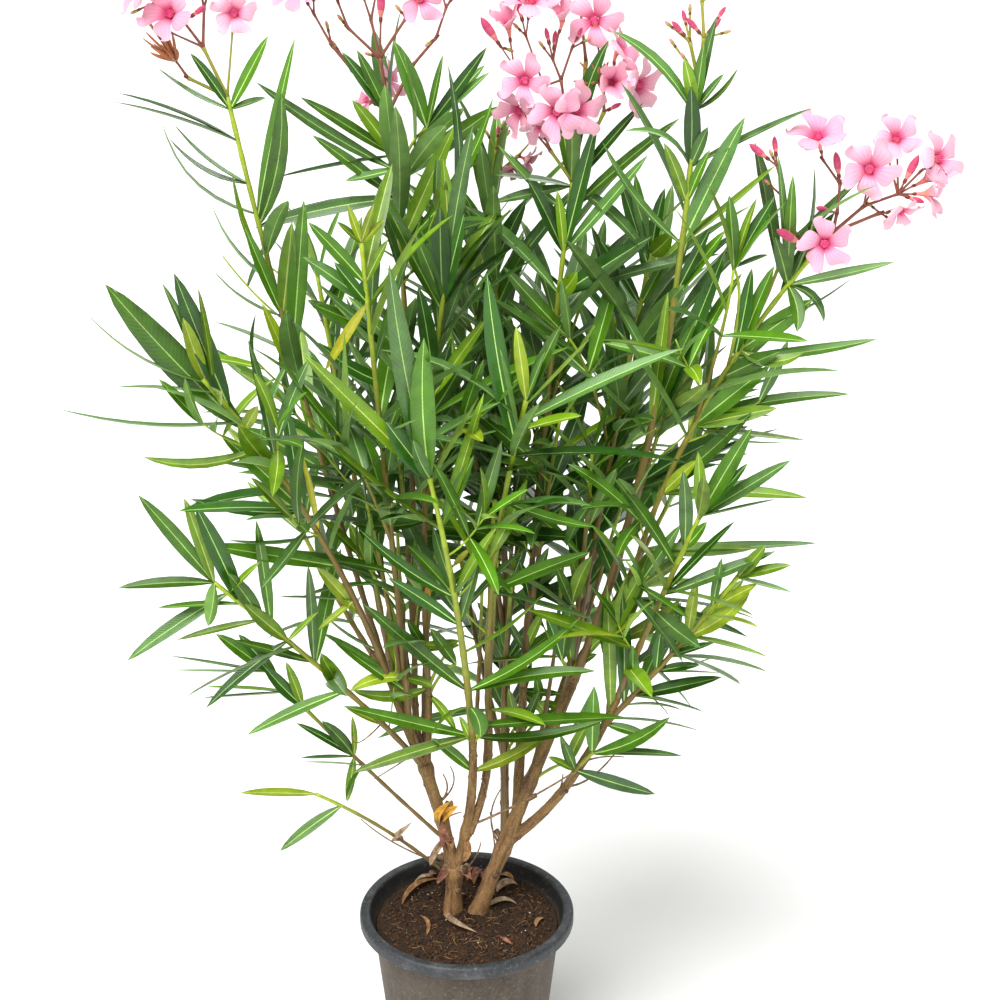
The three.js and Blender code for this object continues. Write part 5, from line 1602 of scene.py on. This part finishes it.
# Blossom: open and half-open flowers, buds in all sizes, withered ones, and their stalks
bloom = {
    "radius": 27, "tube": 18, "throat": 3.0, "petals": 5, "halfWidth": 15.5, "petalFoot": 2.3,
    "budLength": 26, "budRadius": 3.3, "stalk": 1.9, "thinner": 0.82, "stalkLeast": 0.85, "stalkSides": 8,
    "faceTurn": (0, -0.7, 0.2), "halfOpen": 0.32, "tiny": 0.4, "knee": 9, "tubeSides": 10, "fringe": 10,
    "spentPetals": 22, "spentSpread": 34,
    "sheets": {"petal": ("#f2b9c8", "#d93a78"), "back": ("#f1bccb", "#ea8a72")},  # edge and throat
}
bloomColours = {
    "petal": "#e997b5", "back": "#ee9db5", "throat": "#e04a88", "tube": "#ea8a80", "calyx": "#7c342c",
    "bud": "#d24a72", "budTip": "#c23a66", "stalk": "#8f5440", "greenStalk": "#9c9c34", "spent": "#b0683a",
}
finishOf = {name: number for number, name in enumerate(bloomColours)}
sections = np.linspace(0, 1, 9)  # along a stalk, a withered petal or a flower's tube


# turns points modelled on +Z so that +Z lies along a direction
def turnTo(points, direction, spin=0.0):
    z = unit(np.asarray(direction, float))
    x = unit(np.cross(squareTo(z), z))
    y = np.cross(z, x)
    c, s = math.cos(spin), math.sin(spin)
    x, y = x * c + y * s, y * c - x * s
    return points @ np.stack([x, y, z])


# petals on a grid of s from throat to tip and v across: radius = throat + reach s^1.1, half width as
# (foot + rest s^0.95) sqrt(1 - s^7), one side longer and lifted over its neighbour, with a ruffled edge
def petalPoints(openness, seed):
    s = np.concatenate([np.linspace(0, 0.84, 8), [0.92, 0.965, 0.99, 0.9995]])[:, None]
    v = np.concatenate([np.linspace(-1, 1, 7), np.linspace(0.66, -0.66, 5)])[None]
    under = np.concatenate([np.zeros(7), np.ones(5)])[None]
    closing = 1 - openness
    reach = bloom["radius"] - bloom["throat"]
    radius = bloom["throat"] + reach * s ** 1.1 + 3.4 * v * s * (1 - 0.3 * s)
    widest = bloom["halfWidth"] * (0.86 + 0.2 * chance(seed, 3, 3))
    half = (bloom["petalFoot"] + (widest - bloom["petalFoot"]) * s ** 0.95) * np.sqrt(1 - s ** 7)
    half = half * (1 - 0.35 * closing)
    height = -8 * (1 - s) ** 3 + 3.4 * np.sin(np.pi * s) * openness + 2.6 * v * s
    ruffle = 1.3 * np.sin(3.1 * v + 6 * s + seed) * s ** 2
    height = height + ruffle - 3.0 * v * v * s * (1 - s) - 0.38 * under + closing * radius * 1.15
    radius = radius * (1 - 0.62 * closing)
    sway = half * v + 3.0 * s ** 2
    petals = []
    for i, a in enumerate(onceRound(bloom["petals"])):
        x = radius * math.cos(a) - sway * math.sin(a)
        y = radius * math.sin(a) + sway * math.cos(a)
        petals.append(np.stack([x, y, height + 1.6 * math.sin(seed * 3 + i * 2.4) * s], -1))
    sheet = np.stack(np.broadcast_arrays(s, v, 0 * s * v), -1)
    return petals, sheet


# five petals with their backs, the tube below them, its calyx and the fringe round the throat
def addFlower(bundle, start, end, facing, openness, size, seed):
    petals, sheet = petalPoints(openness, seed)
    rings, corners = sheet.shape[:2]
    finish = np.zeros((rings - 1, corners), int)
    finish[:, 6:] = finishOf["back"]
    spin = seed * 1.7
    for i, petal in enumerate(petals):
        sheet[..., 2] = chance(seed, i, 4)
        points = turnTo(petal.reshape(-1, 3) * size, facing, spin) + end
        finishes = [finish.ravel(), finishOf["throat"], finishOf["petal"]]
        bundle.add(points, ringFaces(rings, corners), finishes, petal=sheet)
    foot = start + (end - start) * max(0.0, 1 - size * bloom["tube"] / norm(end - start))
    knee = end - facing * bloom["knee"] * size
    route = Route(foot, (foot + knee * 1.6 + end * 0.4) / 3, end - facing * bloom["throat"] * size)
    radii = (1.4 + 2.6 * sections ** 1.6) * size
    finishes = [finishOf["tube"], finishOf["tube"], finishOf["throat"]]
    bundle.addTube(route, radii, bloom["tubeSides"], finishes)
    addCalyx(bundle, foot, route.along(0.0), seed, 0.9)
    for i, a in enumerate(onceRound(bloom["fringe"]) + seed):
        lean = place(math.cos(a), math.sin(a), 0)
        low = lean * 3.0 - place(0, 0, 2.4)
        high = lean * (2.4 + 0.8 * math.sin(i * 2.3)) + place(0, 0, 2.6)
        line = np.stack([low, (low + high) / 2 + lean * 0.5, high])
        fringe = tube(line, np.array([0.6, 0.45, 0.15]), 4, (0.3, 0.9, 0.2)).reshape(-1, 3) * size
        bundle.add(turnTo(fringe, facing, spin) + end, ringFaces(3, 4), finishOf["throat"])
    return foot


# five pointed sepals in a cup
def addCalyx(bundle, foot, direction, seed, size=1.0):
    t = np.linspace(0, 1, 5)[:, None]
    a = onceRound(20)[None]
    teeth = 0.5 + 0.5 * np.cos(5 * a + seed)
    radius = (1.2 + 0.8 * np.sin(np.pi * (0.15 + 0.6 * t))) * (1 - 0.12 * t * teeth)
    points = aroundAxis(radius, a, 6.4 * t * (0.4 + 0.6 * teeth) - 0.8) * size
    bundle.add(turnTo(points.reshape(-1, 3), direction) + foot, ringFaces(5, 20), finishOf["calyx"])


# a furled bud: radius(s, a) swells and draws to a point, with five ridges wound round it
def addBud(bundle, start, end, size, seed, low="bud", high="budTip"):
    direction = unit(end - start)
    s = np.linspace(0, 1, 12)[:, None]
    a = onceRound(15)[None]
    swell = np.sin(np.pi * s ** 1.25) ** 0.75
    radius = (0.35 + bloom["budRadius"] * size * swell) * (1 + 0.10 * np.cos(5 * (a - 1.6 * s)) * s)
    points = aroundAxis(radius, a, bloom["budLength"] * size * s)
    foot = end - direction * bloom["budLength"] * size * 0.6
    finish = np.where(s[:-1, 0] > 0.55, finishOf[high], finishOf[low])
    finish = np.where(s[:-1, 0] < 0.3, finishOf["tube"] if low == "bud" else finishOf[low], finish)
    groups = [np.repeat(finish, 15), finishOf["calyx"], finishOf[high]]
    bundle.add(turnTo(points.reshape(-1, 3), direction, seed) + foot, ringFaces(12, 15), groups)
    addCalyx(bundle, foot, direction, seed, 0.75 if size < 0.6 else 1.0)
    return foot


# withered petals that hang together in a tuft
def addSpent(bundle, start, end, seed):
    run = end - start
    for i in range(bloom["spentPetals"]):
        shift = place(*(bloom["spentSpread"] * (chance(seed, i, k) - 0.5) for k in range(3)))
        middle = (start + end) / 2 + shift * 0.3
        route = Route(start + run * 0.45, middle + run * 0.3 + shift * 0.4, end + shift)
        thick = 0.4 + 1.3 * np.sin(np.pi * sections ** 0.8) * (0.5 + 0.8 * chance(seed, i, 5))
        bundle.addTube(route, thick, 6, finishOf["spent"])
    return start + run * 0.45


# a straight stalk that swells at both ends
def addStalk(bundle, start, end, foot, tip, finish):
    t = sections
    ends = np.exp(-(t / 0.09) ** 2) + np.exp(-((1 - t) / 0.09) ** 2)
    radii = foot + (tip - foot) * t + 0.45 * foot * ends
    bundle.addTube(straight(start, end), radii, bloom["stalkSides"], finish)


# a petal runs from a deep throat to a pale edge, with darker streaks; the rest is nearly plain
def bloomMaterial(name, code):
    material, spot = startMaterial("bloom_" + name)
    grain, mottle = spot.noise(800.0), spot.noise(120.0)
    shade = (mottle * 0.9 + 0.05).mix(tint(code, 0.78), tint(code, 1.18))
    if name in bloom["sheets"]:
        edge, throat = bloom["sheets"][name]
        run, across, own = spot.carried("petal").parts()
        streaks = (across * 15.0 + own * 6.0 + mottle * 3.0).sine() * 0.5 + 0.5
        pale = (own * 0.4 + run * 0.9 - 0.25).step().mix(code, edge)
        lined = (streaks * (1 - run) * 0.42).mix(pale, "#e0588f")
        shade = run.step(0.04, 0.36).mix(throat, lined)
    isSoft = name not in ("calyx", "stalk", "greenStalk")
    rough = grain * 0.15 + (0.55 if isSoft else 0.45)
    return finishMaterial(material, grain, 0.2, 0.0004, Base_Color=shade, Roughness=rough,
                          Sheen_Weight=0.25 if isSoft else 0.0)


def makeBlossom():
    flowers, stalks = Bundle("petal"), Bundle("petal")
    seed = 0
    for name, rows in heads.items():
        ends, radii = [], []
        depth = stems[name].tip[1]
        greenFoot = name not in ("middle_bloom", "right_bloom")
        allGreen = name in ("right_tall", "centre_back")
        for origin, across, down, forward, kind, *more in rows:
            seed += 1
            onStem = isinstance(origin, float)
            start = stems[name].at(origin) if onStem else ends[origin]
            thick = bloom["stalk"] if onStem else radii[origin]
            end = foot = fromPhoto(across, down, depth - forward)
            ends.append(end)
            radii.append(thick * bloom["thinner"])
            facing = unit(end - start) + place(*bloom["faceTurn"]) if len(more) < 3 else place(*more[:3])
            size = more[-1] if len(more) in (1, 4) else 0.9 + 0.2 * chance(seed, 1, 2)
            if kind == arm:
                addCalyx(stalks, end, unit(end - start), seed, 0.8)
            elif kind in (flower, half):
                openness = bloom["halfOpen"] if kind == half else 0.8 + 0.2 * chance(seed, 1, 1)
                foot = addFlower(flowers, start, end, unit(facing), openness, size, seed)
            elif kind == bud:
                foot = addBud(flowers, start, end, size, seed)
            elif kind == tiny:
                foot = addBud(flowers, start, end, bloom["tiny"], seed, "greenStalk", "tube")
            elif kind == spent:
                foot = addSpent(flowers, start, end, seed)
            tip = radii[-1] if kind == arm else bloom["stalkLeast"]
            thick = thick if kind == arm else min(thick, 1.5 * tip)
            if norm(foot - start) > 1:
                green = allGreen or (onStem and greenFoot)
                addStalk(stalks, start, foot, thick, tip, finishOf["greenStalk" if green else "stalk"])
    materials = [bloomMaterial(name, code) for name, code in bloomColours.items()]
    flowers.piece("blossom", materials, "foliage", sharpAngle=50)
    stalks.piece("flower_stalks", materials, "foliage")


makeBlossom()
print("blossom: flowers, buds and stalks")
